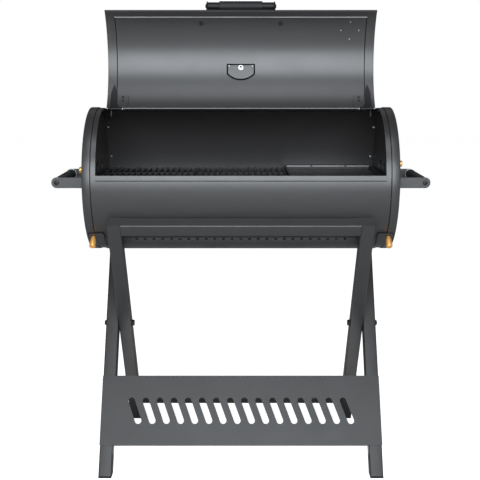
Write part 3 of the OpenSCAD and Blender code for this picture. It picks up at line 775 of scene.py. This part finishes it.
class SMOKER_OT_lid(PieceOperator):
    """Rolled lid with the strip that stiffens its edges and its round plate"""

    bl_idname = "smoker.lid"
    bl_label = "Lid"

    def make(self):
        bm = bmesh.new()
        rolled(bm, DRUM_R, SHEET, (LID_FRONT, LID_REAR), (-LID_HALF, LID_HALF), longest=1.5)
        swing(bm)
        on_lid("lid_sheet", bm, "powder_coat", "lid_shell", bevel=sizes().edge)
        edge = LID_HALF - FRAME_MARGIN
        window = edge - FRAME_WIDTH
        bm = bmesh.new()
        rolled(bm, INNER_R, SHEET, (LID_FRONT + 0.9, 94.6), (-edge, edge),
               keep=lambda a, x: a < STRIP_EDGE or abs(x) > window,
               needed_a=(STRIP_EDGE,), needed_x=(-window, window), longest=1.5)
        rolled(bm, INNER_R, 3.5, (93.6, 94.6), (-353, 353))
        swing(bm)
        on_lid("lid_edge_strip", bm, "powder_coat", "lid_frame", bevel=0.4)
        bm = bmesh.new()
        # near-black strips along the inner side edges of the edge strip: painted shadow lines
        for low, high in ((-window, -window + 2), (window - 2, window)):
            rolled(bm, INNER_R, 0.5, (STRIP_EDGE + 0.7, 93.4), (low, high), longest=1.5)
        swing(bm)
        on_lid("lid_side_shadow_lines", bm, "seam_and_painted_shade")
        bm = bmesh.new()
        # light grey strip along the edge strip's inner top edge: painted highlight where that edge catches
        # the light
        rolled(bm, INNER_R, 2.2, (STRIP_EDGE, STRIP_EDGE + 0.6), (-window, window), longest=1.5)
        swing(bm)
        on_lid("lid_strip_highlight", bm, "painted_edge_highlight")
        bm = bmesh.new()
        plate(bm, [ring_points(BADGE_R, 72)], 1.5, LID_SWING,
              wrap=(DRUM_R, BADGE_AT[1], BADGE_AT[0]))
        for k in range(3):
            plate(bm, [ring_points(19 - 6 * k, 48), ring_points(16.5 - 6 * k, 48)], 0.5, LID_SWING,
                  wrap=(DRUM_R + 1.5, BADGE_AT[1], BADGE_AT[0]))
        on_lid("round_plate", bm, "plain_steel", "badge_plate")
        bm = bmesh.new()
        for k in range(4):
            a = math.radians(90 * k)
            spot = LID_SWING @ on_drum(BADGE_AT[1] + BADGE_TURN * math.sin(a),
                                       BADGE_AT[0] + BADGE_RIVET * math.cos(a))
            bolt_head(bm, 3.2, 1.6, spot @ at(0, 0, DRUM_R + 1.5))
            bolt_head(bm, 2.4, 2.4, spot @ at(0, 0, INNER_R) @ FLIP)
            rod(bm, 1.9, 7, spot @ at(0, 0, DRUM_R - 1), 0.2, 16)
        on_lid("plate_rivets", bm, "zinc", "badge_rivets")


class SMOKER_OT_hinges(PieceOperator):
    """Hinge leaves, barrels, pins and screws"""

    bl_idname = "smoker.hinges"
    bl_label = "Hinges"

    def barrel(self, bm, low, high, place):
        rod(bm, 4.2, high - low, place @ at((low + high) / 2, HINGE.y, HINGE.z) @ ALONG_X, 0.4, 32)

    def make(self):
        hinge_at = math.degrees(math.atan2(HINGE.z - AXIS_Z, -HINGE.y))
        leaf_r = INNER_R - SHEET
        for sign, name in HANDS:
            whole = side(sign)
            bm = bmesh.new()
            for low, high in DRUM_KNUCKLES:
                self.barrel(bm, low, high, whole)
            part = bmesh.new()
            for xs in DRUM_KNUCKLES:
                rolled(part, INNER_R, SHEET, (hinge_at, hinge_at + 2), xs)
            rolled(part, INNER_R, SHEET, (hinge_at + 1.8, hinge_at + 9), (362, 416))
            rolled(part, leaf_r, 22, (hinge_at + 3, hinge_at + 8), (406, 409))
            absorb(bm, part, whole)
            fixed(f"{name}_drum_leaf", bm, "black_coat", f"{name}_hinge_bracket")
            bm = bmesh.new()
            self.barrel(bm, *LID_KNUCKLE, LID_SWING @ whole)
            part = bmesh.new()
            rolled(part, leaf_r, SHEET, (93, hinge_at), LID_KNUCKLE)
            rolled(part, leaf_r, SHEET, (92.4, 94.6), (386, 410))
            length = math.radians(STRAP_ROOT - STRAP_TIP) * (leaf_r - SHEET)
            strap = [(-10, length), (-10, 28), (-0.6, 0), (0.6, 0), (10, 28), (10, length)]
            plate(part, [strap], SHEET, wrap=(leaf_r - SHEET, STRAP_TIP, 400))
            absorb(bm, part, LID_SWING @ whole)
            on_lid(f"{name}_lid_strap", bm, "black_coat", f"{name}_lid_leaf")
            bm = bmesh.new()
            rolled(bm, INNER_R, 4, (83, 94.6), (354, 388), longest=1.5)
            swing(bm, whole)
            on_lid(f"{name}_lid_pad", bm, "powder_coat", bevel=0.5)
        pins, screws, lid_screws = bmesh.new(), bmesh.new(), bmesh.new()
        for sign in (-1, 1):
            whole = side(sign)
            middle = whole @ at(394, HINGE.y, HINGE.z) @ ALONG_X
            rod(pins, 2.5, 45, middle, 0.3, 24)
            for end in (-1, 1):
                rod(pins, 3.8, 1.6, middle @ at(0, 0, end * 23.2), 0.4, 24)
            for x in (371, 391):
                bolt_head(screws, 4.5, 2.5, whole @ on_drum(hinge_at + 5, x, leaf_r) @ FLIP)
                rod(screws, 2.4, 4, whole @ on_drum(hinge_at + 5, x, INNER_R), 0.2, 16)
            for a in (85, 88.5):
                place = LID_SWING @ whole @ on_drum(a, 371, leaf_r - SHEET)
                bolt_head(lid_screws, 4, 2, place @ FLIP)
                rod(lid_screws, 2.4, 5.8, place @ at(0, 0, 2.9), 0.2, 16)
        fixed("barrel_pins", pins, "zinc", "hinge_pins")
        fixed("drum_leaf_screws", screws, "black_bolt", "hinge_screws")
        on_lid("strap_screws", lid_screws, "black_bolt", "lid_leaf_screws")


class SMOKER_OT_lid_handle(PieceOperator):
    """Bar, grip, arms and bolts of the lid's handle"""

    bl_idname = "smoker.lid_handle"
    bl_label = "Lid handle"

    def make(self):
        swing = math.radians(BAR_AT - LID_BOLT[1])
        bar_y, bar_z = BAR_OUT * math.sin(swing), BAR_OUT * math.cos(swing)
        lid_frame = LID_SWING @ on_drum(LID_BOLT[1])
        bar = lid_frame @ at(0, bar_y, bar_z) @ ALONG_X
        bm = bmesh.new()
        rod(bm, 12, 2 * BAR_HALF, bar, 1.2, 48)
        on_lid("handle_bar", bm, "black_coat", "lid_handle_bar")
        bm = bmesh.new()
        half, outer = 68.0, 15.5
        groove = sizes().grip_rib / 2
        profile = [(12.0, -half), (outer - 1.5, -half), (outer, -half + 1.5)]
        for k in range(-5, 6):
            z = k * 11.0
            profile += [(outer, z - 1.2), (outer - groove, z - 0.6),
                        (outer - groove, z + 0.6), (outer, z + 1.2)]
        profile += [(outer, half - 1.5), (outer - 1.5, half), (12.0, half), (12.0, -half)]
        turned(bm, profile, bar, 48)
        on_lid("handle_sleeve", bm, "grip_plastic", "lid_handle_grip")
        bm = bmesh.new()
        tilt = math.atan2(-bar_y, bar_z - DRUM_R)
        crest = math.degrees(tilt)
        outline = [(-12, DRUM_R + 1.2), (12, DRUM_R + 1.2)] + arc(bar_y, bar_z, 14, crest, crest + 180, 20)
        for sign in (-1, 1):
            plate(bm, [outline], 4, LID_SWING @ side(sign) @ on_drum(LID_BOLT[1]) @ at(BAR_HALF) @ ACROSS_X)
            foot = bmesh.new()
            plate(foot, [rounded(31.5, 24, 3)], 3,
                  wrap=(DRUM_R, LID_BOLT[1], BAR_HALF + 15.75))
            absorb(bm, foot, LID_SWING @ side(sign))
        on_lid("handle_arms", bm, "black_coat", "lid_handle_arms")
        bm = bmesh.new()
        for sign in (-1, 1):
            bolt_head(bm, 7, 3.5, LID_SWING @ side(sign) @ on_drum(LID_BOLT[1])
                      @ at(BAR_HALF + 4, bar_y, bar_z) @ ALONG_X)
            spot = LID_SWING @ side(sign) @ on_drum(LID_BOLT[1], LID_BOLT[0])
            bolt_head(bm, 7, 4.6, spot @ at(0, 0, INNER_R) @ FLIP, sides=6)
            bolt_head(bm, 7.5, 3, spot @ at(0, 0, DRUM_R + 3))
            rod(bm, 3.6, 16, spot @ at(0, 0, INNER_R), 0.5, 20)
        on_lid("handle_bolts", bm, "black_bolt", "lid_handle_bolts")


class SMOKER_OT_gauge(PieceOperator):
    """Lid thermometer: bezel, dial, marks, needle, glass, back plate and stem"""

    bl_idname = "smoker.gauge"
    bl_label = "Thermometer"

    def outline(self, grow, count=24):
        """Straight sides and near edge, with an arched far edge."""
        half_w = GAUGE_SIZE[0] / 2 + grow
        half_h = GAUGE_SIZE[1] / 2 + grow
        radius = GAUGE_ARC_R + grow
        centre = GAUGE_SIZE[1] / 2 - GAUGE_ARC_R
        start = math.degrees(math.acos(half_w / radius))
        return [(-half_w, -half_h), (half_w, -half_h)] + arc(0, centre, radius, start, 180 - start, count)

    def make(self):
        here = LID_SWING @ on_drum(GAUGE_AT)

        def layer(z):
            return here @ at(0, 0, z)

        bm = bmesh.new()
        plate(bm, [self.outline(4), self.outline(0)], 7.3, layer(DRUM_R + 3))
        plate(bm, [self.outline(4)], 2.6, layer(DRUM_R + 0.35))
        plate(bm, [self.outline(-3)], 3.8, layer(DRUM_R - 3.6))
        on_lid("gauge_bezel", bm, "polished", "thermometer_case", bevel=0.6)
        bm = bmesh.new()
        plate(bm, [self.outline(-0.2)], 0.8, layer(DRUM_R + 3))
        on_lid("gauge_dial", bm, "dial_face", "thermometer_dial")
        bm = bmesh.new()
        count = sizes().dial_ticks
        for k in range(count):
            turn = 15 + 150 * k / (count - 1)
            long = 5.0 if k % 5 == 0 else 3.2
            place = layer(DRUM_R + 3.79) @ at(0, STEM_Y) @ spun(turn, "Z")
            block(bm, (34 - long, -0.4, 0), (34, 0.4, 0.12), place)
        on_lid("gauge_marks", bm, "black_coat")
        bm = bmesh.new()
        pivot = layer(DRUM_R + 4.6) @ at(0, STEM_Y) @ spun(165, "Z")
        plate(bm, [[(-9, -1.4), (31, -0.35), (31, 0.35), (-9, 1.4)]], 0.6, pivot)
        turned(bm, [(1.65, 0), (4, 0), (4, 0.8), (3.6, 1.0), (1.65, 1.0), (1.65, 0)], pivot, 32)
        make_piece("gauge_needle", bm, "needle_paint", "gauge_needle", ["thermometer_needle"])
        bm = bmesh.new()
        plate(bm, [self.outline(-0.1)], 2, layer(DRUM_R + 7.6))
        on_lid("gauge_window", bm, "gauge_glass", "thermometer_glass")
        bm = bmesh.new()
        plate(bm, [self.outline(-2.2)], 2, layer(INNER_R - 3.8))
        on_lid("gauge_back_plate", bm, "powder_coat", "thermometer_backplate", bevel=0.5)
        bm = bmesh.new()
        plate(bm, [self.outline(1.8), self.outline(-2.1)], 2.2, layer(INNER_R - 3.9))
        on_lid("gauge_gasket", bm, "seam_and_painted_shade", bevel=0.5)
        bm = bmesh.new()
        stem = layer(0) @ at(0, STEM_Y)
        turned(bm, [(0, INNER_R - 18), (2, INNER_R - 18), (3, INNER_R - 17), (3, DRUM_R + 3.8),
                    (1.5, DRUM_R + 3.8), (1.5, DRUM_R + 6.4), (0, DRUM_R + 6.4)], stem, 24)
        plate(bm, [ring_points(6.8, 6), ring_points(3.1, 24)], 5, stem @ at(0, 0, INNER_R - 9.8))
        plate(bm, [ring_points(7.6, 36), ring_points(3.1, 24)], 1, stem @ at(0, 0, INNER_R - 4.8))
        for sign in (-1, 1):
            bolt_head(bm, 2.3, 1.5, layer(INNER_R - 3.8) @ at(sign * 37, -19)
                      @ FLIP)
        on_lid("gauge_stem", bm, "plain_steel", "thermometer_stem")
        bm = bmesh.new()
        rod(bm, 3.2, 2, stem @ at(0, 0, INNER_R - 18.2), 0.5, 24)
        on_lid("gauge_stem_tip", bm, "black_bolt")


# ---------- side handles ----------


class SMOKER_OT_side_handles(PieceOperator):
    """Arms, ribbed grips, washers and bolts of the side handles"""

    bl_idname = "smoker.side_handles"
    bl_label = "Side handles"

    def make(self):
        half_h = HANDLE_HIGH.z - AXIS_Z
        for sign, name in HANDS:
            bm = bmesh.new()
            outline = [(DISC_FACE, half_h), (DISC_FACE, -half_h)] + arc(GRIP_X, 0, half_h, -90, 90, 24)
            for end in (-1, 1):
                across = Matrix.Scale(end, 4, Vector((0, 1, 0)))
                plate(bm, [outline], ARM_T,
                      side(sign) @ across @ at(0, ARM_Y + ARM_T / 2, AXIS_Z) @ STANDING)
                foot = [rounded(36 - ARM_T / 2, 2 * half_h - 0.4, 3)]
                plate(bm, foot, 4, side(sign) @ across
                      @ at(DISC_FACE, ARM_Y + 17.6, AXIS_Z) @ ACROSS_X)
            fixed(f"{name}_handle_arms", bm, "powder_coat", f"{name}_handle",
                       bevel=0.6)
            bm = bmesh.new()
            half = ARM_Y - ARM_T / 2 - 2.6
            profile = [(5, -half), (14.2, -half), (15, -half + 0.8)]
            rib = sizes().grip_rib
            count = 26
            for k in range(count):
                z = -half + 4 + (2 * half - 8) * k / (count - 1)
                profile += [(15, z - 2.4), (15 - rib, z - 1.6), (15 - rib, z + 1.6), (15, z + 2.4)]
            profile += [(15, half - 0.8), (14.2, half), (5, half), (5, -half)]
            ordered = sorted({p for p in profile[3:-4]}, key=lambda p: p[1])
            body = profile[:3] + ordered + profile[-4:]
            along = side(sign) @ at(GRIP_X, 0, AXIS_Z) @ ALONG_Y
            turned(bm, body, along, 48)
            fixed(f"{name}_ribbed_grip", bm, "grip_plastic", f"{name}_handle_grip")
            bm = bmesh.new()
            for end in (-1, 1):
                inner, outer = 5.0, 17.0
                turned(bm, [(inner, -1.2), (outer - 0.6, -1.2), (outer, -0.6), (outer, 0.6),
                            (outer - 0.6, 1.2), (inner, 1.2), (inner, -1.2)],
                       along @ at(0, 0, end * (half + 1.3)), 48)
            fixed(f"{name}_grip_washers", bm, "zinc")
        bm = bmesh.new()
        for sign in (-1, 1):
            along = side(sign) @ at(GRIP_X, 0, AXIS_Z) @ ALONG_Y
            rod(bm, 4.9, 2 * ARM_Y + ARM_T, along, 0.5, 24)
            for end in (0, math.pi):
                bolt_head(bm, 7.5, 4, along @ Matrix.Rotation(end, 4, "X") @ at(0, 0, ARM_Y + ARM_T / 2))
            for y in (-ARM_Y - 20, ARM_Y + 20):
                for z in (-8, 8):
                    spot = side(sign) @ at(0, y, AXIS_Z + z) @ ALONG_X
                    bolt_head(bm, 5.5, 3, spot @ at(0, 0, DISC_FACE + 4))
                    bolt_head(bm, 5, 4, spot @ at(0, 0, DISC_FACE - SHEET) @ FLIP,
                              sides=6)
                    rod(bm, 2.9, 7, spot @ at(0, 0, DISC_FACE + 1), 0.2, 16)
        fixed("side_bolts", bm, "black_bolt", "side_handle_bolts")


# ---------- cooking inserts ----------


class SMOKER_OT_grates(PieceOperator):
    """Two cast grates and the griddle plate"""

    bl_idname = "smoker.grates"
    bl_label = "Grates and griddle"

    def make(self):
        for node in ("left_grate", "centre_grate"):
            low, high = box_mm(node)
            bar_w = 6.0
            count = int((high.x - low.x - bar_w) // 18.8)
            span = (high.x - low.x - bar_w) / count
            depth = high.y - low.y
            height = high.z - low.z
            bm = bmesh.new()
            section = [(-bar_w / 2 + 0.9, 0), (bar_w / 2 - 0.9, 0)]
            section += arc(bar_w / 2 - 1.6, height - 1.6, 1.6, 0, 90, 4)
            section += arc(-bar_w / 2 + 1.6, height - 1.6, 1.6, 90, 180, 4)
            for k in range(count + 1):
                x = low.x + bar_w / 2 + k * span
                plate(bm, [section], depth, at(x, high.y, low.z) @ STANDING)
            for y in (low.y, low.y + depth / 2 - 75, low.y + depth / 2 + 67, high.y - 8):
                plate(bm, [rounded(high.x - low.x, 8, 1.5, cy=4)], height - 2.2,
                      at((low.x + high.x) / 2, y, low.z + 0.2))
            make_piece(f"{node}_casting", bm, "cast_enamel", node, [node])
        low, high = box_mm("griddle_plate")
        middle = at((low.x + high.x) / 2, (low.y + high.y) / 2, low.z)
        width, depth = high.x - low.x, high.y - low.y
        bm = bmesh.new()
        plate(bm, [rounded(width, depth, 6)], 6.9, middle)
        plate(bm, [rounded(width, depth, 6), rounded(width - 10, depth - 10, 4)], 11, middle @ at(0, 0, 7))
        make_piece("griddle_casting", bm, "cast_enamel", "griddle", ["griddle_plate"], bevel=0.9)
        bm = bmesh.new()
        # light grey bars on the top of the griddle's back rim: painted highlight where its edge catches the
        # light
        notches = [(-width / 2 + 6, -width / 2 + 87), (-width / 2 + 93, -width / 2 + 201),
                   (-width / 2 + 207, width / 2 - 6)]
        for low_x, high_x in notches:
            block(bm, (low_x, depth / 2 - 5.4, 15.4), (high_x, depth / 2 - 1.5, 18.3), middle)
        make_piece("griddle_rim_highlights", bm, "painted_edge_highlight", "griddle", bevel=0.5)


# ---------- stand ----------


class SMOKER_OT_stand(PieceOperator):
    """Crossed legs, beams, crossbar, plugs, foot pads and bolts"""

    bl_idname = "smoker.stand"
    bl_label = "Stand"

    def leg(self, bm, angle, x, flip):
        """One square tube leg from its top end down to its foot pad."""
        tube = bmesh.new()
        down = spun(90 * flip, "X")
        start = on_drum(angle) @ at(x, flip * (TUBE / 2 - 2), DRUM_R + TUBE / 2)
        square_bar(tube, 1200, start @ down, sizes().tube_corner)
        bmesh.ops.bisect_plane(tube, geom=tube.verts[:] + tube.edges[:] + tube.faces[:],
                               plane_co=(0, 0, PAD_T), plane_no=(0, 0, -1), clear_outer=True)
        rim = [e for e in tube.edges if e.is_boundary]
        bmesh.ops.holes_fill(tube, edges=rim, sides=0)
        absorb(bm, tube)

    def make(self):
        corner = sizes().tube_corner
        inner_x = INNER_LEG_X - TUBE / 2
        outer_x = LEG_HIGH.x - TUBE / 2
        # the outer legs take the darker stand coat: painted shade
        legs = (("inner_legs", "powder_coat", -LEAN, inner_x, 1),
                ("outer_legs", "shaded_stand_coat", 180 + LEAN, outer_x, -1))
        for name, finish, angle, x, flip in legs:
            for sign, hand in HANDS:
                bm = bmesh.new()
                self.leg(bm, angle, sign * x, flip)
                fixed(f"{hand}_{name[:-1]}", bm, finish,
                      *([name] if sign > 0 else []), smooth=40)
        beams = (("front_beam", -LEAN, 0, inner_x), ("rear_beam", 180 + LEAN, 0, outer_x),
                 ("rear_crossbar", -LEAN, -CROSSBAR_AT, inner_x))
        for node, angle, along, x in beams:
            bm = bmesh.new()
            half = x - TUBE / 2
            square_bar(bm, 2 * half, on_drum(angle) @ at(-half, along, DRUM_R + TUBE / 2) @ ALONG_X, corner)
            fixed(f"{node}_tube", bm, "powder_coat", node, smooth=40)
        bm = bmesh.new()
        for angle, x, flip in ((-LEAN, inner_x, 1), (180 + LEAN, outer_x, -1)):
            for sign in (-1, 1):
                place = on_drum(angle) @ at(sign * x, flip * (TUBE / 2 - 2), DRUM_R + TUBE / 2)
                turn = spun(-90 * flip, "X")
                plate(bm, [rounded(TUBE, TUBE, corner)], 2, place @ turn)
        fixed("tube_plugs", bm, "powder_coat", "leg_plugs", bevel=0.5)
        bm = bmesh.new()
        run = TUBE / cosd(LEAN)
        foot_y = (AXIS_Z - PAD_T / 2 - (AXIS_Z - CROSS_Z)) * math.tan(math.radians(LEAN))
        for x, y in ((outer_x, -foot_y), (-outer_x, -foot_y), (inner_x, foot_y), (-inner_x, foot_y)):
            plate(bm, [rounded(TUBE, run, 3)], PAD_T, at(x, y, 0))
        fixed("rubber_feet", bm, "grip_plastic", "foot_pads", bevel=0.5)
        self.bolts(inner_x, outer_x)

    def bolts(self, inner_x, outer_x):
        bm = bmesh.new()
        for sign in (-1, 1):
            cross = side(sign) @ at(0, 0, CROSS_Z) @ ALONG_X
            bolt_head(bm, 10, 8, cross @ at(0, 0, inner_x - TUBE / 2 - 8), sides=6)
            rod(bm, 5.9, 2 * TUBE + 10, cross @ at(0, 0, outer_x - TUBE / 2), 0.5, 24)
            hoop(bm, 6, 13, 0, 1, cross @ at(0, 0, inner_x + TUBE / 2), 32)
            bolt_head(bm, 9, 7, cross @ at(0, 0, outer_x + TUBE / 2))
            for angle in (-LEAN, 180 + LEAN):
                spot = side(sign) @ on_drum(angle, 150, INNER_R)
                bolt_head(bm, 7, 3, spot @ FLIP)
                rod(bm, 3.9, 9, spot @ at(0, 0, 4.5), 0.3, 20)
        fixed("frame_bolts", bm, "black_bolt", "stand_bolts")


class SMOKER_OT_panel(PieceOperator):
    """Front panel with its row of slanted slots and its folded edges"""

    bl_idname = "smoker.panel"
    bl_label = "Front panel"

    def slot(self, cx, cy):
        slope = math.radians(SLOT_LEAN)
        points = arc(0, SLOT_HALF, SLOT_R, 0, 180, 14) + arc(0, -SLOT_HALF, SLOT_R, 180, 360, 14)
        return [(cx + x * math.cos(slope) - y * math.sin(slope),
                 cy + x * math.sin(slope) + y * math.cos(slope)) for x, y in points]

    def make(self):
        face = on_drum(180 + LEAN) @ at(0, PANEL_TOP, DRUM_R - SHEET)
        width = 2 * (LEG_HIGH.x + 1)
        slots = [self.slot((k - (SLOT_COUNT - 1) / 2) * SLOT_PITCH, PANEL_H / 2 + 2)
                 for k in range(SLOT_COUNT)]
        bm = bmesh.new()
        plate(bm, [rounded(width, PANEL_H, 2, cy=PANEL_H / 2), *slots], SHEET, face)
        inset = LEG_HIGH.x - TUBE - 1
        for y in (0.2, PANEL_H - SHEET - 0.2):
            block(bm, (-inset, y, SHEET - 0.3), (inset, y + SHEET, SHEET + 18), face)
        # the panel takes the darker stand coat: painted shade
        fixed("slotted_panel", bm, "shaded_stand_coat", "front_panel", bevel=0.4)


# ---------- stage ----------


def soft_light(name, place, target, size, power, colour=(1, 1, 1)):
    data = bpy.data.lights.new(name, "AREA")
    data.shape = "RECTANGLE"
    data.size, data.size_y = size
    data.energy = power
    data.color = colour
    light = bpy.data.objects.new(name, data)
    light.location = place
    light.rotation_mode = "QUATERNION"
    light.rotation_quaternion = (Vector(target) - Vector(place)).to_track_quat("-Z", "Y")
    bpy.context.scene.collection.objects.link(light)


class SMOKER_OT_stage(bpy.types.Operator):
    """Camera, floor, backdrop light and soft boxes"""

    bl_idname = "smoker.stage"
    bl_label = "Stage"

    def execute(self, context):
        scene = context.scene
        data = bpy.data.cameras.new("camera")
        data.lens = 68.0
        data.sensor_width = 36.0
        data.shift_x = -0.0018
        data.clip_end = 100
        camera = bpy.data.objects.new("camera", data)
        camera.location = (0, -2.8427, 1.2164)
        camera.rotation_euler = (math.radians(90 - 10.54), 0, 0)
        scene.collection.objects.link(camera)
        scene.camera = camera
        scene.view_settings.view_transform = "Standard"
        self.backdrop(scene)
        cool = (0.90, 0.955, 1.0)
        soft_light("front box", (0.0, -3.5, 1.85), (0, 0, 1.3), (3.4, 2.3), 245, cool)
        soft_light("high box", (0.0, -2.6, 5.0), (0, 0, 1.1), (3.4, 2.2), 92, cool)
        soft_light("left box", (-3.2, -1.2, 1.7), (0, 0, 0.8), (1.2, 2.0), 5)
        soft_light("right box", (3.2, -1.2, 1.7), (0, 0, 0.8), (1.2, 2.0), 6)
        soft_light("under box", (0.0, -0.05, 0.05), (0, -0.05, 0.6), (0.9, 0.3), 0.8)
        soft_light("rear box", (0, 2.6, 3.2), (0, 0, 0.9), (3.0, 1.2), 2.5)
        return {"FINISHED"}

    def backdrop(self, scene):
        bm = bmesh.new()
        bmesh.ops.create_grid(bm, x_segments=1, y_segments=1, size=15)
        mesh = bpy.data.meshes.new("floor")
        bm.to_mesh(mesh)
        bm.free()
        floor = bpy.data.objects.new("floor", mesh)
        scene.collection.objects.link(floor)
        pale = bpy.data.materials.new("pale_floor")
        pale.use_nodes = True
        shader = pale.node_tree.nodes["Principled BSDF"]
        shader.inputs["Base Color"].default_value = (0.6, 0.6, 0.6, 1)
        shader.inputs["Roughness"].default_value = 0.9
        shader.inputs["Specular IOR Level"].default_value = 0.0
        shader.inputs["Emission Color"].default_value = (1, 1, 1, 1)
        seen_path = add_node(pale.node_tree, "ShaderNodeLightPath")
        glow = add_node(pale.node_tree, "ShaderNodeMath")
        glow.operation = "MULTIPLY"
        glow.inputs[1].default_value = 0.95
        pale.node_tree.links.new(seen_path.outputs["Is Camera Ray"], glow.inputs[0])
        pale.node_tree.links.new(glow.outputs[0], shader.inputs["Emission Strength"])
        mesh.materials.append(pale)
        world = bpy.data.worlds.new("studio")
        world.use_nodes = True
        scene.world = world
        tree = world.node_tree
        room = tree.nodes["Background"]
        room.inputs["Color"].default_value = (1, 1, 1, 1)
        room.inputs["Strength"].default_value = 0.06
        seen = add_node(tree, "ShaderNodeBackground", Strength=1.0, Color=(1, 1, 1, 1))
        path = add_node(tree, "ShaderNodeLightPath")
        choose = add_node(tree, "ShaderNodeMixShader")
        for slot, source in enumerate((path.outputs["Is Camera Ray"], room.outputs[0], seen.outputs[0])):
            tree.links.new(source, choose.inputs[slot])
        tree.links.new(choose.outputs[0], tree.nodes["World Output"].inputs["Surface"])


CARRIED = {
    "grate_rails": "inside_coat",
    "charcoal_tray": "inside_coat",
    "tray_crossbars": "inside_coat",
    "ash_pan": "inside_coat",
}


class SMOKER_OT_carried(bpy.types.Operator):
    """Finishes of the trays and rails that are used as the frame has them"""

    bl_idname = "smoker.carried"
    bl_label = "Trays and rails"

    def execute(self, context):
        for node, finish in CARRIED.items():
            mesh = frame["nodes"][node].data
            mesh.materials.clear()
            mesh.materials.append(finish_material(finish))
        return {"FINISHED"}


PIECE_OPERATORS = (
    SMOKER_OT_drum, SMOKER_OT_ends, SMOKER_OT_knobs, SMOKER_OT_damper, SMOKER_OT_lid,
    SMOKER_OT_hinges, SMOKER_OT_lid_handle, SMOKER_OT_gauge, SMOKER_OT_side_handles,
    SMOKER_OT_grates, SMOKER_OT_stand, SMOKER_OT_panel, SMOKER_OT_carried, SMOKER_OT_stage,
)


class SMOKER_PT_panel(bpy.types.Panel):
    """Settings and pieces of the barrel smoker"""

    bl_idname = "SMOKER_PT_panel"
    bl_label = "Barrel smoker"
    bl_space_type = "VIEW_3D"
    bl_region_type = "UI"
    bl_category = "Smoker"

    def draw(self, context):
        for group in (context.scene.smoker_sizes, context.scene.smoker_colours):
            for name in group.__annotations__:
                self.layout.prop(group, name)
        for operator in PIECE_OPERATORS:
            self.layout.operator(operator.bl_idname)


CLASSES = (SmokerSizes, SmokerColours, *PIECE_OPERATORS, SMOKER_PT_panel)


def register():
    for cls in CLASSES:
        bpy.utils.register_class(cls)
    bpy.types.Scene.smoker_sizes = bpy.props.PointerProperty(type=SmokerSizes)
    bpy.types.Scene.smoker_colours = bpy.props.PointerProperty(type=SmokerColours)


def unregister():
    del bpy.types.Scene.smoker_colours
    del bpy.types.Scene.smoker_sizes
    for cls in reversed(CLASSES):
        bpy.utils.unregister_class(cls)


def main():
    register()
    for operator in PIECE_OPERATORS:
        group, name = operator.bl_idname.split(".")
        getattr(getattr(bpy.ops, group), name)()


if __name__ == "__main__":
    main()
